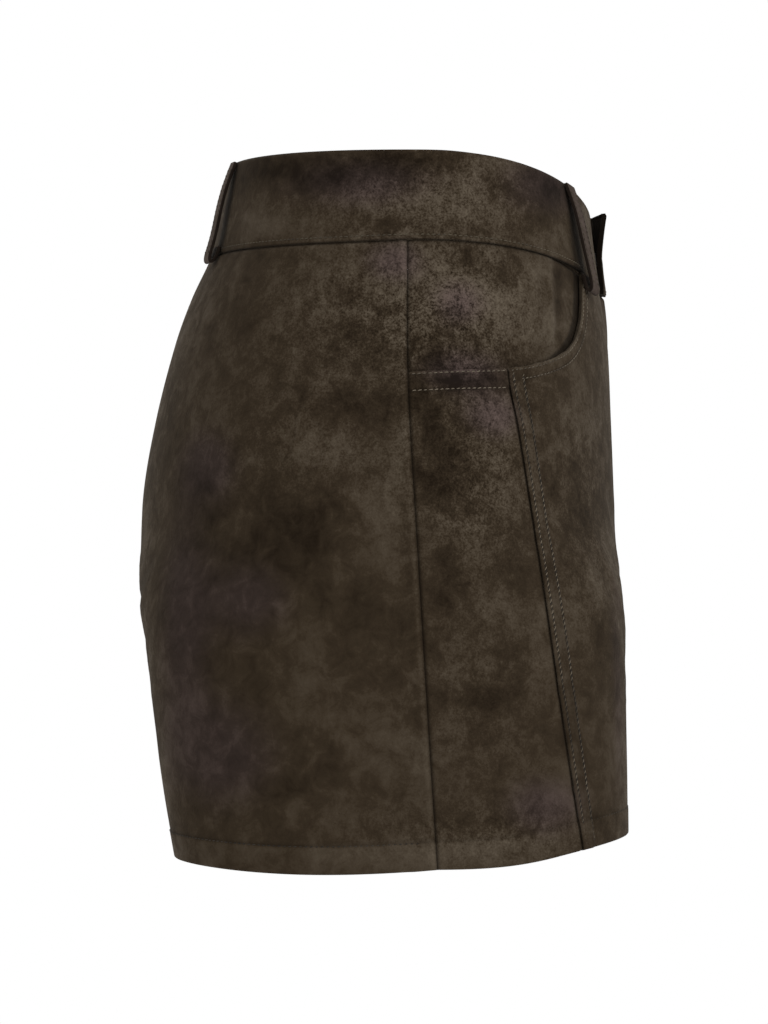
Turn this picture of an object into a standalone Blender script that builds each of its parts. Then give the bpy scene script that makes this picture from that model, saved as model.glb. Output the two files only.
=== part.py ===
"""High-waisted suede shorts, filled out as on a plain figure, with nothing inside.

Metres, +Z up. The front faces -Y and the wearer's right side is -X. The origin is the
middle of the waist, halfway up the waistband at the side.

Every cloth piece is laid on one form. A place on the form has two numbers: round, from 0
at the centre back over the side to 1 at the centre front, and down, from 0 at the waist
seam to 1 at the hem. Below the crotch both ends of round meet along the inner leg.
"""
import bisect
import functools
import math

import bmesh
import bpy
from mathutils import Vector

# ------------------------------------------------------------- driving sizes, millimetres
MM = 0.001
SEAM_GAP = 0.3            # between two pieces that are sewn edge to edge
SUEDE = 1.5               # one layer of cloth
BAND_WALL = 2.2           # the waistband, a folded and pressed double layer
BAND_PROUD = 0.5          # how far the waistband stands in front of the panels
HEM_DEPTH = 14.0          # the hem is turned up inside by this much
POCKET_SINK = 2.5         # how far the pocket facing lies behind the pocket mouth
POCKET_EASE = 18.0        # it rises back to the panels over this width
LOOP_WIDTH = 10.0
LOOP_WALL = 1.5
INNER_LEG = 9.0           # from the middle plane to the inner side of a leg, at the hem
SIDE_Y = 4.0              # the widest point of the hips, front to back
SQUARENESS = 2.35         # 2 is an ellipse, more is squarer
MIDDLE_ROUNDING = 0.15    # lines round the garment turn smoothly at the centre front
SHARP_ANGLE = 40.0        # edges bent more than this, in degrees, are not shaded smooth

# The form's outline at each height, seen from the front and from the side.
FORM = [
    # z, half_width, y_back, y_front
    (30, 131, 90.0, -84.0),
    (0, 135, 95.5, -86.8),
    (-22, 140, 100.5, -89.0),
    (-44, 147, 110.5, -92.5),
    (-66, 154, 118.5, -96.0),
    (-105, 166, 128.5, -97.8),
    (-145, 173, 135.0, -99.3),
    (-180, 178, 134.5, -100.4),
    (-221, 181, 128.8, -101.0),
    (-278, 183, 121.5, -101.6),
    (-325, 184, 113.5, -102.0),
]

# Lines round the garment, each with its height at the back, the side and the front. Seen
# from the front a line falls towards the middle, rounder where the power is higher. It
# leaves its side height over the side ease, a share of the way to the front or the back,
# and half-way to the back it hangs lower by the back sag.
LINES = {
    # name: z_back, z_side, z_front, power, side_ease, back_sag
    "waist edge": (21.0, 21.4, -3.0, 1.28, 0.35, 0.0),
    "waist seam": (-25.0, -21.5, -43.0, 1.1, 0.35, 1.0),
    "hem": (-315.0, -316.3, -303.5, 6.0, 0.95, 1.8),
}

# Where the seat and the front rise bend in towards the crotch, as shares of the way down.
SEAT = 0.42
CROTCH = 0.765
LEGS_PART = 0.17          # below the crotch the legs part over this share of the way down
CROTCH_REACH = 0.25       # the crotch's rounding reaches over this share of the way round

SIDE_SEAM = [
    # down, y
    (0.0, 4.0),
    (0.22, 4.0),
    (0.5, -0.5),
    (1.0, -9.5),
]
PRINCESS_SEAM = [
    # down, y
    (0.0, -42.0),
    (0.21, -43.5),
    (0.3, -48.2),
    (0.5, -57.2),
    (0.75, -67.5),
    (1.0, -78.0),
]
POCKET_MOUTH = [
    # y, z: from the waistband to the princess seam
    (-80.6, -30.0),
    (-80.6, -44.0),
    (-79.6, -57.0),
    (-76.9, -66.2),
    (-72.0, -73.0),
    (-64.5, -77.4),
    (-54.5, -80.6),
    (-43.5, -82.6),
]
POCKET_SIDE_Z = -84.6     # the mouth's end at the side seam
POCKET_SIDE_DOWN = 0.22   # about how far down that is
MOUTH_OVERHANG = 1.5      # the facing keeps its full depth up to this far inside the mouth
FACING_Y = -86.0          # the facing runs on behind the front panel to here
FACING_BELOW = 14.0       # and this far below the mouth

BELT_LOOPS = [
    # name, round at the waist edge, round at the lower end, side
    ("belt_loop_front_right", 0.812, 0.832, -1),
    ("belt_loop_front_left", 0.812, 0.832, 1),
    ("belt_loop_back_right", 0.118, 0.118, -1),
    ("belt_loop_back_left", 0.118, 0.118, 1),
]
LOOP_PROFILE = [
    # down from the waist edge, height of the strip's middle above the form
    (0.9, 1.65),
    (7.0, 2.9),
    (15.0, 4.2),
    (25.0, 4.9),
    (35.0, 5.1),
    (43.0, 5.1),
    (48.0, 4.9),
    (50.7, 4.2),
    (51.6, 3.2),
    (50.6, 2.2),
    (48.0, 1.65),
    (43.5, 1.65),
]

UNDERLAP = 16.0           # the waistband's right end runs on this far past the centre front
OVERLAP = 17.0            # its left end runs this far past the centre front, on top
LAP_SPACE = 1.5           # between the two ends, for the fastener
LAP_RISE_FROM = 46.0      # the upper end starts to rise this far before the centre front
LAP_RISE_TO = 18.0        # and is fully risen from here on
CORNER_CURL = 5.5         # how far the free upper corner bends forward
CORNER_HEIGHT = 0.55      # and over this share of the waistband's height

FLY_START = 0.004         # the strips start this share of the way down
FLY_LENGTH = 128.0
ZIP_WIDTH = 24.0
ZIP_WALL = 1.0
ZIP_SPACE = 0.5           # between the front panels and the zip
SHIELD_WIDTH = 44.0
SHIELD_LONGER = 6.0       # the shield runs this far past the zip
SHIELD_OFFSET = 4.0       # and lies this far towards the wearer's left
HOOK_SIZE = (11.0, 0.9, 8.0)
HOOK_HEIGHT = 0.55        # as a share of the waistband's height, from its top edge
HOOK_CORNER = 0.3

# ------------------------------------------------------------------ how finely it is drawn
BACK_COLUMNS = 18
SIDE_FRONT_COLUMNS = 6
CENTRE_COLUMNS = 16
UPPER_ROWS = 4            # waist seam to pocket mouth
LOWER_ROWS = 12           # pocket mouth to the top of the hem
MOUTH_ROWS = 9
FACING_COLUMNS = 12
BAND_ROWS = 4
BAND_HIP_COLUMNS = 9
BAND_FRONT_COLUMNS = 8
BAND_UNDERLAP_COLUMNS = 2
BAND_OVERLAP_COLUMNS = 4
FLY_ROWS = 6
FLY_COLUMNS = 4

# ---------------------------------------------------------------------------- the form


class Curve:
    """A smooth curve through (place, value) pairs, read at any place between them."""

    def __init__(self, pairs):
        pairs = sorted(pairs)
        self.places = [place for place, value in pairs]
        self.values = [value for place, value in pairs]
        last = len(pairs) - 1
        self.slopes = []
        for i in range(len(pairs)):
            before = max(i - 1, 0)
            after = min(i + 1, last)
            rise = self.values[after] - self.values[before]
            self.slopes.append(rise / (self.places[after] - self.places[before]))

    def __call__(self, place):
        place = min(max(place, self.places[0]), self.places[-1])
        i = min(bisect.bisect_right(self.places, place), len(self.places) - 1) - 1
        span = self.places[i + 1] - self.places[i]
        u = (place - self.places[i]) / span
        from_here = (1 + 2 * u) * (1 - u) ** 2 * self.values[i]
        to_next = u * u * (3 - 2 * u) * self.values[i + 1]
        slope_here = u * (1 - u) ** 2 * span * self.slopes[i]
        slope_next = u * u * (u - 1) * span * self.slopes[i + 1]
        return from_here + to_next + slope_here + slope_next


half_width_at = Curve([(row[0], row[1]) for row in FORM])
back_at = Curve([(row[0], row[2]) for row in FORM])
front_at = Curve([(row[0], row[3]) for row in FORM])
side_seam_y = Curve(SIDE_SEAM)
princess_y = Curve(PRINCESS_SEAM)


def rounded(value):
    """A cosine or a sine, squared off towards a rounded rectangle."""
    return math.copysign(abs(value) ** (2 / SQUARENESS), value)


def smooth_step(value):
    value = min(max(value, 0.0), 1.0)
    return value * value * (3 - 2 * value)


def crotch_angle(down):
    """0 above the seat, a right angle at the crotch and below it."""
    share = (down - SEAT) / (CROTCH - SEAT)
    return math.pi / 2 * min(max(share, 0.0), 1.0)


def torso_ring(around, z):
    """Half of the ring round the body: centre back, side, centre front."""
    turn = math.pi * around
    reach = back_at(z) - SIDE_Y if around < 0.5 else SIDE_Y - front_at(z)
    x = half_width_at(z) * rounded(math.sin(turn))
    return x, SIDE_Y + reach * rounded(math.cos(turn))


def leg_ring(around, z, inner):
    """The whole ring round one leg: inner leg, back, side, front, inner leg."""
    turn = 2 * math.pi * around
    radius = (half_width_at(z) - inner) / 2
    x = inner + radius * (1 - rounded(math.cos(turn)))
    middle = (back_at(z) + front_at(z)) / 2
    reach = (back_at(z) - front_at(z)) / 2
    return x, middle + reach * rounded(math.sin(turn))


def blended_ring(around, z, down):
    """The torso's ring, which turns into the leg's between the seat and the crotch."""
    leg_share = 1 - math.cos(crotch_angle(down))
    torso_x, torso_y = torso_ring(around, z)
    leg_x, leg_y = leg_ring(around, z, INNER_LEG * smooth_step((down - CROTCH) / LEGS_PART))
    x = torso_x + (leg_x - torso_x) * leg_share
    y = torso_y + (leg_y - torso_y) * leg_share
    return x, y


def side_height(down):
    top = LINES["waist seam"][1]
    return top + (LINES["hem"][1] - top) * down


@functools.lru_cache(maxsize=None)
def row_stretch(down):
    """How much a blended row is widened so that it still reaches the form's outline."""
    z = side_height(down)
    steps = 48
    ys = [blended_ring(i / steps, z, down)[1] for i in range(steps + 1)]
    back = (back_at(z) - SIDE_Y) / (max(ys) - SIDE_Y)
    front = (SIDE_Y - front_at(z)) / (SIDE_Y - min(ys))
    return back, front


def line_height(name, x, y, z):
    """Height of a line at x and y, where the form's outline is read at height z."""
    back, side, front, power, side_ease, back_sag = LINES[name]
    outward_share = math.hypot(min(x / half_width_at(z), 1.0), MIDDLE_ROUNDING)
    widest = math.hypot(1.0, MIDDLE_ROUNDING)
    outward_share = (outward_share - MIDDLE_ROUNDING) / (widest - MIDDLE_ROUNDING)
    inward = 1 - outward_share ** power
    if y > SIDE_Y:
        share = min((y - SIDE_Y) / (back_at(z) - SIDE_Y), 1.0)
        sag = back_sag * 4 * share * (1 - share)
        return side + (back - side) * inward * smooth_step(share / side_ease) - sag
    share = (SIDE_Y - y) / (SIDE_Y - front_at(z))
    return side + (front - side) * inward * smooth_step(share / side_ease)


@functools.lru_cache(maxsize=None)
def form_point(around, down):
    """A point of the form, in millimetres, on the side where x is positive."""
    back_stretch, front_stretch = row_stretch(down)
    z = side_height(down)
    for again in range(2):
        x, y = blended_ring(around, z, down)
        stretch = back_stretch if y > SIDE_Y else front_stretch
        y = SIDE_Y + (y - SIDE_Y) * stretch
        upper = line_height("waist seam", x, y, z)
        lower = line_height("hem", x, y, z)
        z = upper + (lower - upper) * down
    angle = crotch_angle(down)
    rise = side_height(SEAT) - side_height(CROTCH)
    end_share = max(0.0, 1 - min(around, 1 - around) / CROTCH_REACH) ** 2
    z -= rise * (math.sin(angle) - angle / (math.pi / 2)) * end_share
    return Vector((x, y, z))


def band_point(around, share):
    """A point of the form under the waistband: share 0 is its top edge, 1 the seam."""
    z = LINES["waist edge"][1] * (1 - share) + LINES["waist seam"][1] * share
    for again in range(2):
        x, y = torso_ring(around, z)
        upper = line_height("waist edge", x, y, z)
        lower = line_height("waist seam", x, y, z)
        z = upper + (lower - upper) * share
    return Vector((x, y, z))


def outward(point_at, around, down):
    """The direction straight out of the form, for either of its two kinds of place."""
    step = 0.004
    ahead = point_at(min(around + step, 1.0), down) - point_at(max(around - step, 0.0), down)
    below = point_at(around, min(down + step, 1.0)) - point_at(around, max(down - step, 0.0))
    return below.cross(ahead).normalized() * -1


@functools.lru_cache(maxsize=None)
def on_form(around, down):
    """A point of the form and the direction straight out of it."""
    return form_point(around, down), outward(form_point, around, down)


def round_at(down, y):
    """Where a row of the form, followed from the back over the side, reaches this y."""
    steps = 64
    start = 0.25
    before = start
    for i in range(1, steps + 1):
        here = start + (1 - start) * i / steps
        if form_point(here, down).y <= y:
            break
        before = here
    for again in range(18):
        middle = (before + here) / 2
        if form_point(middle, down).y > y:
            before = middle
        else:
            here = middle
    return (before + here) / 2


def place_at(y, z):
    """The round and down numbers of the point that the side view shows at y and z."""
    high, low = 0.0, 1.0
    for again in range(20):
        down = (high + low) / 2
        if form_point(round_at(down, y), down).z > z:
            high = down
        else:
            low = down
    return round_at(down, y), down


def round_off_middle(point_at, distance, down):
    """The round number of a place at the front, this far from the middle plane."""
    near, far = 0.6, 1.0
    for again in range(24):
        middle = (near + far) / 2
        if point_at(middle, down).x > distance:
            near = middle
        else:
            far = middle
    return (near + far) / 2


@functools.lru_cache(maxsize=None)
def side_seam(down):
    return round_at(down, side_seam_y(down))


@functools.lru_cache(maxsize=None)
def princess_seam(down):
    return round_at(down, princess_y(down))


# ---------------------------------------------------------------------- making a sheet


def mixed(start, end, share):
    return start + (end - start) * share


def stops(start, end, count):
    return [mixed(start, end, i / count) for i in range(count + 1)]


def towards(point, other, distance):
    return point + (other - point).normalized() * distance


def off_middle(point, side):
    """The point, kept half a seam gap away from the middle plane if it belongs to a side."""
    if side:
        point.x = side * max(point.x * side, SEAM_GAP / 2 * MM)
    return point


def trimmed(grid):
    """The grid with each of its four edges drawn in by half a seam gap.

    Each place of a grid is a point on the outer face and the direction straight out of it.
    """
    gap = SEAM_GAP / 2
    for row in grid:
        (first, first_out), (last, last_out) = row[0], row[-1]
        row[0] = (towards(first, row[1][0], gap), first_out)
        row[-1] = (towards(last, row[-2][0], gap), last_out)
    for i in range(len(grid[0])):
        (top, top_out), (low, low_out) = grid[0][i], grid[-1][i]
        grid[0][i] = (towards(top, grid[1][i][0], gap), top_out)
        grid[-1][i] = (towards(low, grid[-2][i][0], gap), low_out)
    return grid


def material(name, colour, roughness, metallic=0.0):
    made = bpy.data.materials.get(name)
    if made is None:
        made = bpy.data.materials.new(name)
        made.use_nodes = True
        shader = made.node_tree.nodes["Principled BSDF"]
        shader.inputs["Base Color"].default_value = (*colour, 1.0)
        shader.inputs["Roughness"].default_value = roughness
        shader.inputs["Metallic"].default_value = metallic
    return made


def suede():
    return material("suede", (0.046, 0.036, 0.026), 0.85)


def band_suede():
    return material("band suede", (0.050, 0.038, 0.028), 0.85)


def lining():
    return material("pocketing", (0.012, 0.010, 0.009), 0.9)


def metal():
    return material("fastener metal", (0.30, 0.29, 0.27), 0.35, 1.0)


def keep(name, mesh, finish):
    made = bpy.data.objects.new(name, mesh)
    made.data.materials.append(finish)
    bpy.data.collections["shorts"].objects.link(made)
    return made


def laid_grid(bm, grid, side):
    """A flat grid whose points are moved to their places; gives them back with those.

    Side is -1 on the wearer's right, 1 on the left and 0 for a piece on both sides.
    """
    hand = side or 1
    columns = len(grid[0]) - 1
    rows = len(grid) - 1
    made = bmesh.ops.create_grid(bm, x_segments=columns, y_segments=rows, size=0.5)
    laid = []
    for vert in made["verts"]:
        column = round((vert.co.x + 0.5) * columns)
        row = round((0.5 - vert.co.y) * rows)
        point, out = grid[row][column]
        point = off_middle(Vector((point.x * hand, point.y, point.z)) * MM, side)
        out = Vector((out.x * hand, out.y, out.z))
        vert.co = point
        laid.append((vert, point, out, row))
    return laid


def sheet(name, grid, side, wall, finish, turned_rows=0):
    """A cloth piece: a grid of points given its wall towards the inside.

    The last turned_rows rows are doubled, as a hem turned up inside.
    """
    bm = bmesh.new()
    laid = laid_grid(bm, grid, side)
    bmesh.ops.extrude_face_region(bm, geom=bm.faces[:], use_keep_orig=True)
    for vert, point, out, row in laid:
        layers = 2 if turned_rows and row >= len(grid) - 1 - turned_rows else 1
        vert.co = off_middle(point - out * wall * layers * MM, side)
    bmesh.ops.recalc_face_normals(bm, faces=bm.faces)
    mesh = bpy.data.meshes.new(name)
    bm.to_mesh(mesh)
    bm.free()
    mesh.shade_smooth()
    mesh.set_sharp_from_angle(angle=math.radians(SHARP_ANGLE))
    return keep(name, mesh, finish)


def strip(name, grid, side, wall, finish):
    """A narrow strip that folds back on itself, with its wall about its middle."""
    bm = bmesh.new()
    laid_grid(bm, grid, side)
    if side > 0:
        bmesh.ops.reverse_faces(bm, faces=bm.faces)
    mesh = bpy.data.meshes.new(name)
    bm.to_mesh(mesh)
    bm.free()
    mesh.shade_smooth()
    made = keep(name, mesh, finish)
    shell = made.modifiers.new("wall", "SOLIDIFY")
    shell.offset = 0.0
    shell.thickness = wall * MM
    return made


# ------------------------------------------------------------------------- the panels

MOUTH_PLACES = [place_at(y, z) for y, z in POCKET_MOUTH[1:]]
MOUTH_TOP = round_at(0.0, POCKET_MOUTH[0][0])
MOUTH_AT_PRINCESS = MOUTH_PLACES[-1][1]
MOUTH_SIDE_Y = side_seam_y(POCKET_SIDE_DOWN)
MOUTH_AT_SIDE = place_at(MOUTH_SIDE_Y, POCKET_SIDE_Z)[1]
HEM_SHARE = HEM_DEPTH / (LINES["waist seam"][1] - LINES["hem"][1])
HEM_STEP = 0.004          # the doubled part starts over this share of the way down


def lower_rows(start):
    """Rows from the pocket mouth down, with the doubled hem's own two rows at the end."""
    fold = 1 - HEM_SHARE
    return stops(start, fold - HEM_STEP, LOWER_ROWS) + [fold, 1.0]


def mouth_place(share):
    """A place on the pocket mouth: share 0 at the waistband, 1 at the princess seam."""
    places = [(MOUTH_TOP, 0.0)] + MOUTH_PLACES
    lengths = [0.0]
    for (a_round, a_down), (b_round, b_down) in zip(places, places[1:]):
        a = form_point(a_round, a_down)
        b = form_point(b_round, b_down)
        lengths.append(lengths[-1] + (b - a).length)
    shares = [length / lengths[-1] for length in lengths]
    around = Curve(list(zip(shares, [place[0] for place in places])))
    down = Curve(list(zip(shares, [place[1] for place in places])))
    return around(share), down(share)


def back_panel(side, word):
    downs = stops(0.0, MOUTH_AT_SIDE, UPPER_ROWS)[:-1] + lower_rows(MOUTH_AT_SIDE)
    grid = []
    for down in downs:
        edge = side_seam(down)
        grid.append([on_form(around, down) for around in stops(0.0, edge, BACK_COLUMNS)])
    sheet(f"back_{word}", trimmed(grid), side, SUEDE, suede(), turned_rows=1)


def side_front_panel(side, word):
    grid = []
    for at_side, at_princess in zip(lower_rows(MOUTH_AT_SIDE), lower_rows(MOUTH_AT_PRINCESS)):
        row = []
        for share in stops(0.0, 1.0, SIDE_FRONT_COLUMNS):
            down = mixed(at_side, at_princess, share)
            row.append(on_form(mixed(side_seam(down), princess_seam(down), share), down))
        grid.append(row)
    sheet(f"side_front_{word}", trimmed(grid), side, SUEDE, suede(), turned_rows=1)


def centre_front_panel(side, word):
    """Rows start on the pocket mouth, then on the princess seam, and end at the middle."""
    grid = []
    for share in stops(0.0, 1.0, MOUTH_ROWS)[:-1]:
        start_round, start_down = mouth_place(share)
        end_down = MOUTH_AT_PRINCESS * share
        row = []
        for part in stops(0.0, 1.0, CENTRE_COLUMNS):
            around = mixed(start_round, 1.0, part)
            row.append(on_form(around, mixed(start_down, end_down, part)))
        grid.append(row)
    for down in lower_rows(MOUTH_AT_PRINCESS):
        around = stops(princess_seam(down), 1.0, CENTRE_COLUMNS)
        grid.append([on_form(place, down) for place in around])
    sheet(f"centre_front_{word}", trimmed(grid), side, SUEDE, suede(), turned_rows=1)


def mouth_distance(point):
    """How far a point of the form lies inside the pocket mouth, less than 0 outside it."""
    y_places = [y for y, z in POCKET_MOUTH] + [MOUTH_SIDE_Y]
    z_places = [z for y, z in POCKET_MOUTH] + [POCKET_SIDE_Z]
    nearest = 1000.0
    inside = False
    for i in range(len(y_places) - 1):
        a = Vector((y_places[i], z_places[i]))
        b = Vector((y_places[i + 1], z_places[i + 1]))
        here = Vector((point.y, point.z))
        along = min(max((here - a).dot(b - a) / (b - a).length_squared, 0.0), 1.0)
        away = here - (a + (b - a) * along)
        if away.length < nearest:
            nearest = away.length
            inside = (b - a).x * away.y - (b - a).y * away.x > 0
    return nearest if inside else -nearest


def pocket_facing(side, word):
    """The hip piece in the pocket mouth. It runs on behind the front panels' edge."""
    drop = side_height(0.0) - side_height(1.0)
    bottom = MOUTH_AT_SIDE + FACING_BELOW / drop
    grid = []
    for down in stops(0.0, MOUTH_AT_SIDE, UPPER_ROWS + 1) + [bottom]:
        row = []
        end = round_at(down, FACING_Y)
        for around in stops(side_seam(down), end, FACING_COLUMNS):
            point, out = on_form(around, down)
            ease = smooth_step((mouth_distance(point) - MOUTH_OVERHANG) / POCKET_EASE)
            row.append((point - out * POCKET_SINK * (1 - ease), out))
        grid.append(row)
    sheet(f"pocket_facing_{word}", trimmed(grid), side, SUEDE, suede())


# ----------------------------------------------------------------------- the waistband


def band_surface(around, share, side, rise):
    """A place on the waistband's outer face; side is 1 on the wearer's left."""
    out = outward(band_point, around, share)
    point = band_point(around, share) + out * rise
    return Vector((point.x * side, point.y, point.z)), Vector((out.x * side, out.y, out.z))


def waistband():
    """One strip, from its lower end round the right side, the back and the left side."""
    full_rise = LAP_SPACE + BAND_WALL
    under_end = round_off_middle(band_point, UNDERLAP, 0.5)
    over_end = round_off_middle(band_point, OVERLAP, 0.5)
    back_stops = stops(0.0, side_seam(0.0), BACK_COLUMNS)
    hip_stops = stops(side_seam(0.0), MOUTH_TOP, BAND_HIP_COLUMNS)
    front_stops = stops(MOUTH_TOP, 1.0, BAND_FRONT_COLUMNS)
    half = back_stops[:-1] + hip_stops[:-1] + front_stops
    places = [(around, 1, 0.0) for around in stops(under_end, 1.0, BAND_UNDERLAP_COLUMNS)[:-1]]
    places += [(around, -1, 0.0) for around in reversed(half)]
    for around in half[1:]:
        before_middle = band_point(around, 0.5).x
        rise = smooth_step((LAP_RISE_FROM - before_middle) / (LAP_RISE_FROM - LAP_RISE_TO))
        rise = rise if around > 0.5 else 0.0
        places.append((around, 1, rise * full_rise))
    tip = stops(1.0, over_end, BAND_OVERLAP_COLUMNS)[1:]
    places += [(around, -1, full_rise) for around in tip]
    grid = []
    for share in stops(0.0, 1.0, BAND_ROWS):
        row = []
        for number, (around, side, rise) in enumerate(places):
            curl = 0.0
            beyond = number - (len(places) - 1 - len(tip))
            if beyond > 0:
                out = band_point(around, 0.5).x / OVERLAP
                curl = CORNER_CURL * out ** 2 * max(1 - share / CORNER_HEIGHT, 0.0)
            row.append(band_surface(around, share, side, BAND_PROUD + rise + curl))
        grid.append(row)
    sheet("waistband", trimmed(grid), 0, BAND_WALL, band_suede())


def belt_loop(name, top_round, low_round, side):
    """A strip caught under the waist edge, bowed out, and turned under at its lower end."""
    height = (band_point(top_round, 0.0) - band_point(top_round, 1.0)).length
    longest = max(distance for distance, rise in LOOP_PROFILE)
    step = 0.01
    grid = []
    for distance, rise in LOOP_PROFILE:
        around = mixed(top_round, low_round, distance / longest)
        share = distance / height
        step_length = (band_point(around + step, 0.5) - band_point(around, 0.5)).length
        row = []
        for part in (-0.5, 0.0, 0.5):
            place = around + part * LOOP_WIDTH * step / step_length
            if share <= 1:
                point = band_point(place, share)
                out = outward(band_point, place, share)
            else:
                drop = side_height(0.0) - side_height(1.0)
                down = (distance - height) / drop
                point = form_point(place, down)
                out = outward(form_point, place, down)
            row.append((point + out * rise, out))
        grid.append(row)
    strip(name, grid, side, LOOP_WALL, band_suede())


# ------------------------------------------------------------ the fly and its fastening


def middle_strip(name, width, depth, wall, length, finish, offset):
    """A strip behind the centre front, from the waist seam down."""
    drop = side_height(0.0) - side_height(1.0)
    grid = []
    for down in stops(FLY_START, length / drop, FLY_ROWS):
        row = []
        for x in stops(offset + width / 2, offset - width / 2, FLY_COLUMNS):
            around = round_off_middle(form_point, abs(x), down)
            point, out = on_form(around, down)
            point = point - out * depth
            hand = math.copysign(1.0, x)
            place = Vector((point.x * hand, point.y, point.z))
            row.append((place, Vector((out.x * hand, out.y, out.z))))
        grid.append(row)
    sheet(name, grid, 0, wall, finish)


def waist_hook():
    """A flat trouser hook, closed on its bar, between the waistband's two ends."""
    out = outward(band_point, 1.0, HOOK_HEIGHT)
    place = band_point(1.0, HOOK_HEIGHT) + out * (BAND_PROUD + LAP_SPACE / 2)
    bpy.ops.mesh.primitive_cube_add(size=1.0)
    made = bpy.context.active_object
    made.name = "waist_hook"
    made.data.name = "waist_hook"
    made.scale = Vector(HOOK_SIZE) * MM
    bpy.ops.object.transform_apply(location=False, rotation=False, scale=True)
    made.location = place * MM
    made.rotation_euler = (math.atan2(out.z, -out.y) * -1, 0.0, 0.0)
    made.data.materials.append(metal())
    edges = made.modifiers.new("rounded corners", "BEVEL")
    edges.width = HOOK_CORNER * MM
    edges.segments = 1
    for collection in made.users_collection:
        collection.objects.unlink(made)
    bpy.data.collections["shorts"].objects.link(made)


def build():
    for old in list(bpy.data.objects):
        bpy.data.objects.remove(old, do_unlink=True)
    parts = bpy.data.collections.new("shorts")
    bpy.context.scene.collection.children.link(parts)
    for side, word in ((-1, "right"), (1, "left")):
        back_panel(side, word)
        side_front_panel(side, word)
        centre_front_panel(side, word)
        pocket_facing(side, word)
    waistband()
    for row in BELT_LOOPS:
        belt_loop(*row)
    zip_depth = SUEDE + ZIP_SPACE
    middle_strip("fly_zip", ZIP_WIDTH, zip_depth, ZIP_WALL, FLY_LENGTH, lining(), 0.0)
    depth = zip_depth + ZIP_WALL + SEAM_GAP
    length = FLY_LENGTH + SHIELD_LONGER
    middle_strip("fly_shield", SHIELD_WIDTH, depth, SUEDE, length, suede(), SHIELD_OFFSET)
    waist_hook()


build()
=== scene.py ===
# %% [markdown]
# # High-waisted suede shorts
# The shorts are cut from a brushed, unevenly faded dark suede and shown filled out, as if
# someone invisible wore them. Their solids come packed in a frame: they have the true shape
# of every cut piece, but their walls are coarse. This lesson lays a fine shell of cloth over
# each of them, with its rolled seams, soft creases, turned-up hem and topstitching.

# %% The frame and its solids
import math

import bmesh
import bpy
import numpy as np
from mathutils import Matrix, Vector


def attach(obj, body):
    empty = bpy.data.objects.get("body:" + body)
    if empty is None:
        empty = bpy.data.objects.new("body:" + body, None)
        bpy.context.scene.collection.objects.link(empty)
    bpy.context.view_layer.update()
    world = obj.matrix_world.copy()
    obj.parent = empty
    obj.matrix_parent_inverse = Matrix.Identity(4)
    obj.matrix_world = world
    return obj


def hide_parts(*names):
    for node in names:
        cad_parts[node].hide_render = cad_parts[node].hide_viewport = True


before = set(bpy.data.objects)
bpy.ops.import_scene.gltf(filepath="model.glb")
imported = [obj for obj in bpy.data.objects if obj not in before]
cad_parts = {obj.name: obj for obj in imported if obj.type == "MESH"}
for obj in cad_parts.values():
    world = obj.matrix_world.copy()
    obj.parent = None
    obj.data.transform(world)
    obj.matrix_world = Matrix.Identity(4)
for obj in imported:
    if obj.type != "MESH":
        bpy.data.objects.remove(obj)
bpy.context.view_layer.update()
print("nodes:", len(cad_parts))

# %% [markdown]
# ## The sizes of the cut
# A maker starts from a size table. The same one shaped the solids, so the cloth that is laid
# here meets them with nothing to fit. Lengths are in millimetres until a point is written.

# %% Driving sizes
MM = 0.001
# cloth
SEAM_GAP = 0.3            # left between the solids at a seam
CLOTH_GAP = 0.02          # left between the laid sheets, too narrow for light
SUEDE = 1.5               # wall of a panel
BAND_WALL = 2.2           # wall of the waistband, which is folded double
BAND_PROUD = 0.5          # how far the band stands off the form
HEM_DEPTH = 14.0
LOOP_WIDTH = 10.0
LOOP_WALL = 1.5
# pocket
POCKET_SINK = 2.5         # how deep the facing lies behind the front
POCKET_EASE = 18.0        # the way it takes to rise to the form again
MOUTH_OVERHANG = 1.5
# form: y of its widest place, how square a ring is, and shares of the way down
INNER_LEG = 9.0
SIDE_Y = 4.0
SQUARENESS = 2.35
MIDDLE_ROUNDING = 0.15
SEAT = 0.42
CROTCH = 0.765
LEGS_PART = 0.17
CROTCH_REACH = 0.25
# closing: how far the band's two ends pass the middle, and how the upper one stands off
UNDERLAP = 16.0
OVERLAP = 17.0
LAP_SPACE = 1.5
LAP_RISE_FROM = 46.0
LAP_RISE_TO = 18.0
CORNER_CURL = 5.5
CORNER_HEIGHT = 0.55
CORNER_TUCK = 1.3
TUCK_FROM = 0.60
FLY_LENGTH = 128.0

FORM = [
    # z, half_width, y_back, y_front
    (30, 131, 90.0, -84.0),
    (0, 135, 95.5, -86.8),
    (-22, 140, 100.5, -89.0),
    (-44, 147, 110.5, -92.5),
    (-66, 154, 118.5, -96.0),
    (-105, 166, 128.5, -97.8),
    (-145, 173, 135.0, -99.3),
    (-180, 178, 134.5, -100.4),
    (-221, 181, 128.8, -101.0),
    (-278, 183, 121.5, -101.6),
    (-325, 184, 113.5, -102.0),
]
LINES = {
    # name: z_back, z_side, z_front, power, side_ease, back_sag
    "waist edge": (21.0, 21.4, -3.0, 1.28, 0.35, 0.0),
    "waist seam": (-25.0, -21.5, -43.0, 1.1, 0.35, 1.0),
    "hem": (-315.0, -316.3, -303.5, 6.0, 0.95, 1.8),
}
SIDE_SEAM = [
    # down, y
    (0.0, 4.0),
    (0.22, 4.0),
    (0.5, -0.5),
    (1.0, -9.5),
]
PRINCESS_SEAM = [
    # down, y
    (0.0, -42.0),
    (0.21, -43.5),
    (0.3, -48.2),
    (0.5, -57.2),
    (0.75, -67.5),
    (1.0, -78.0),
]
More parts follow.
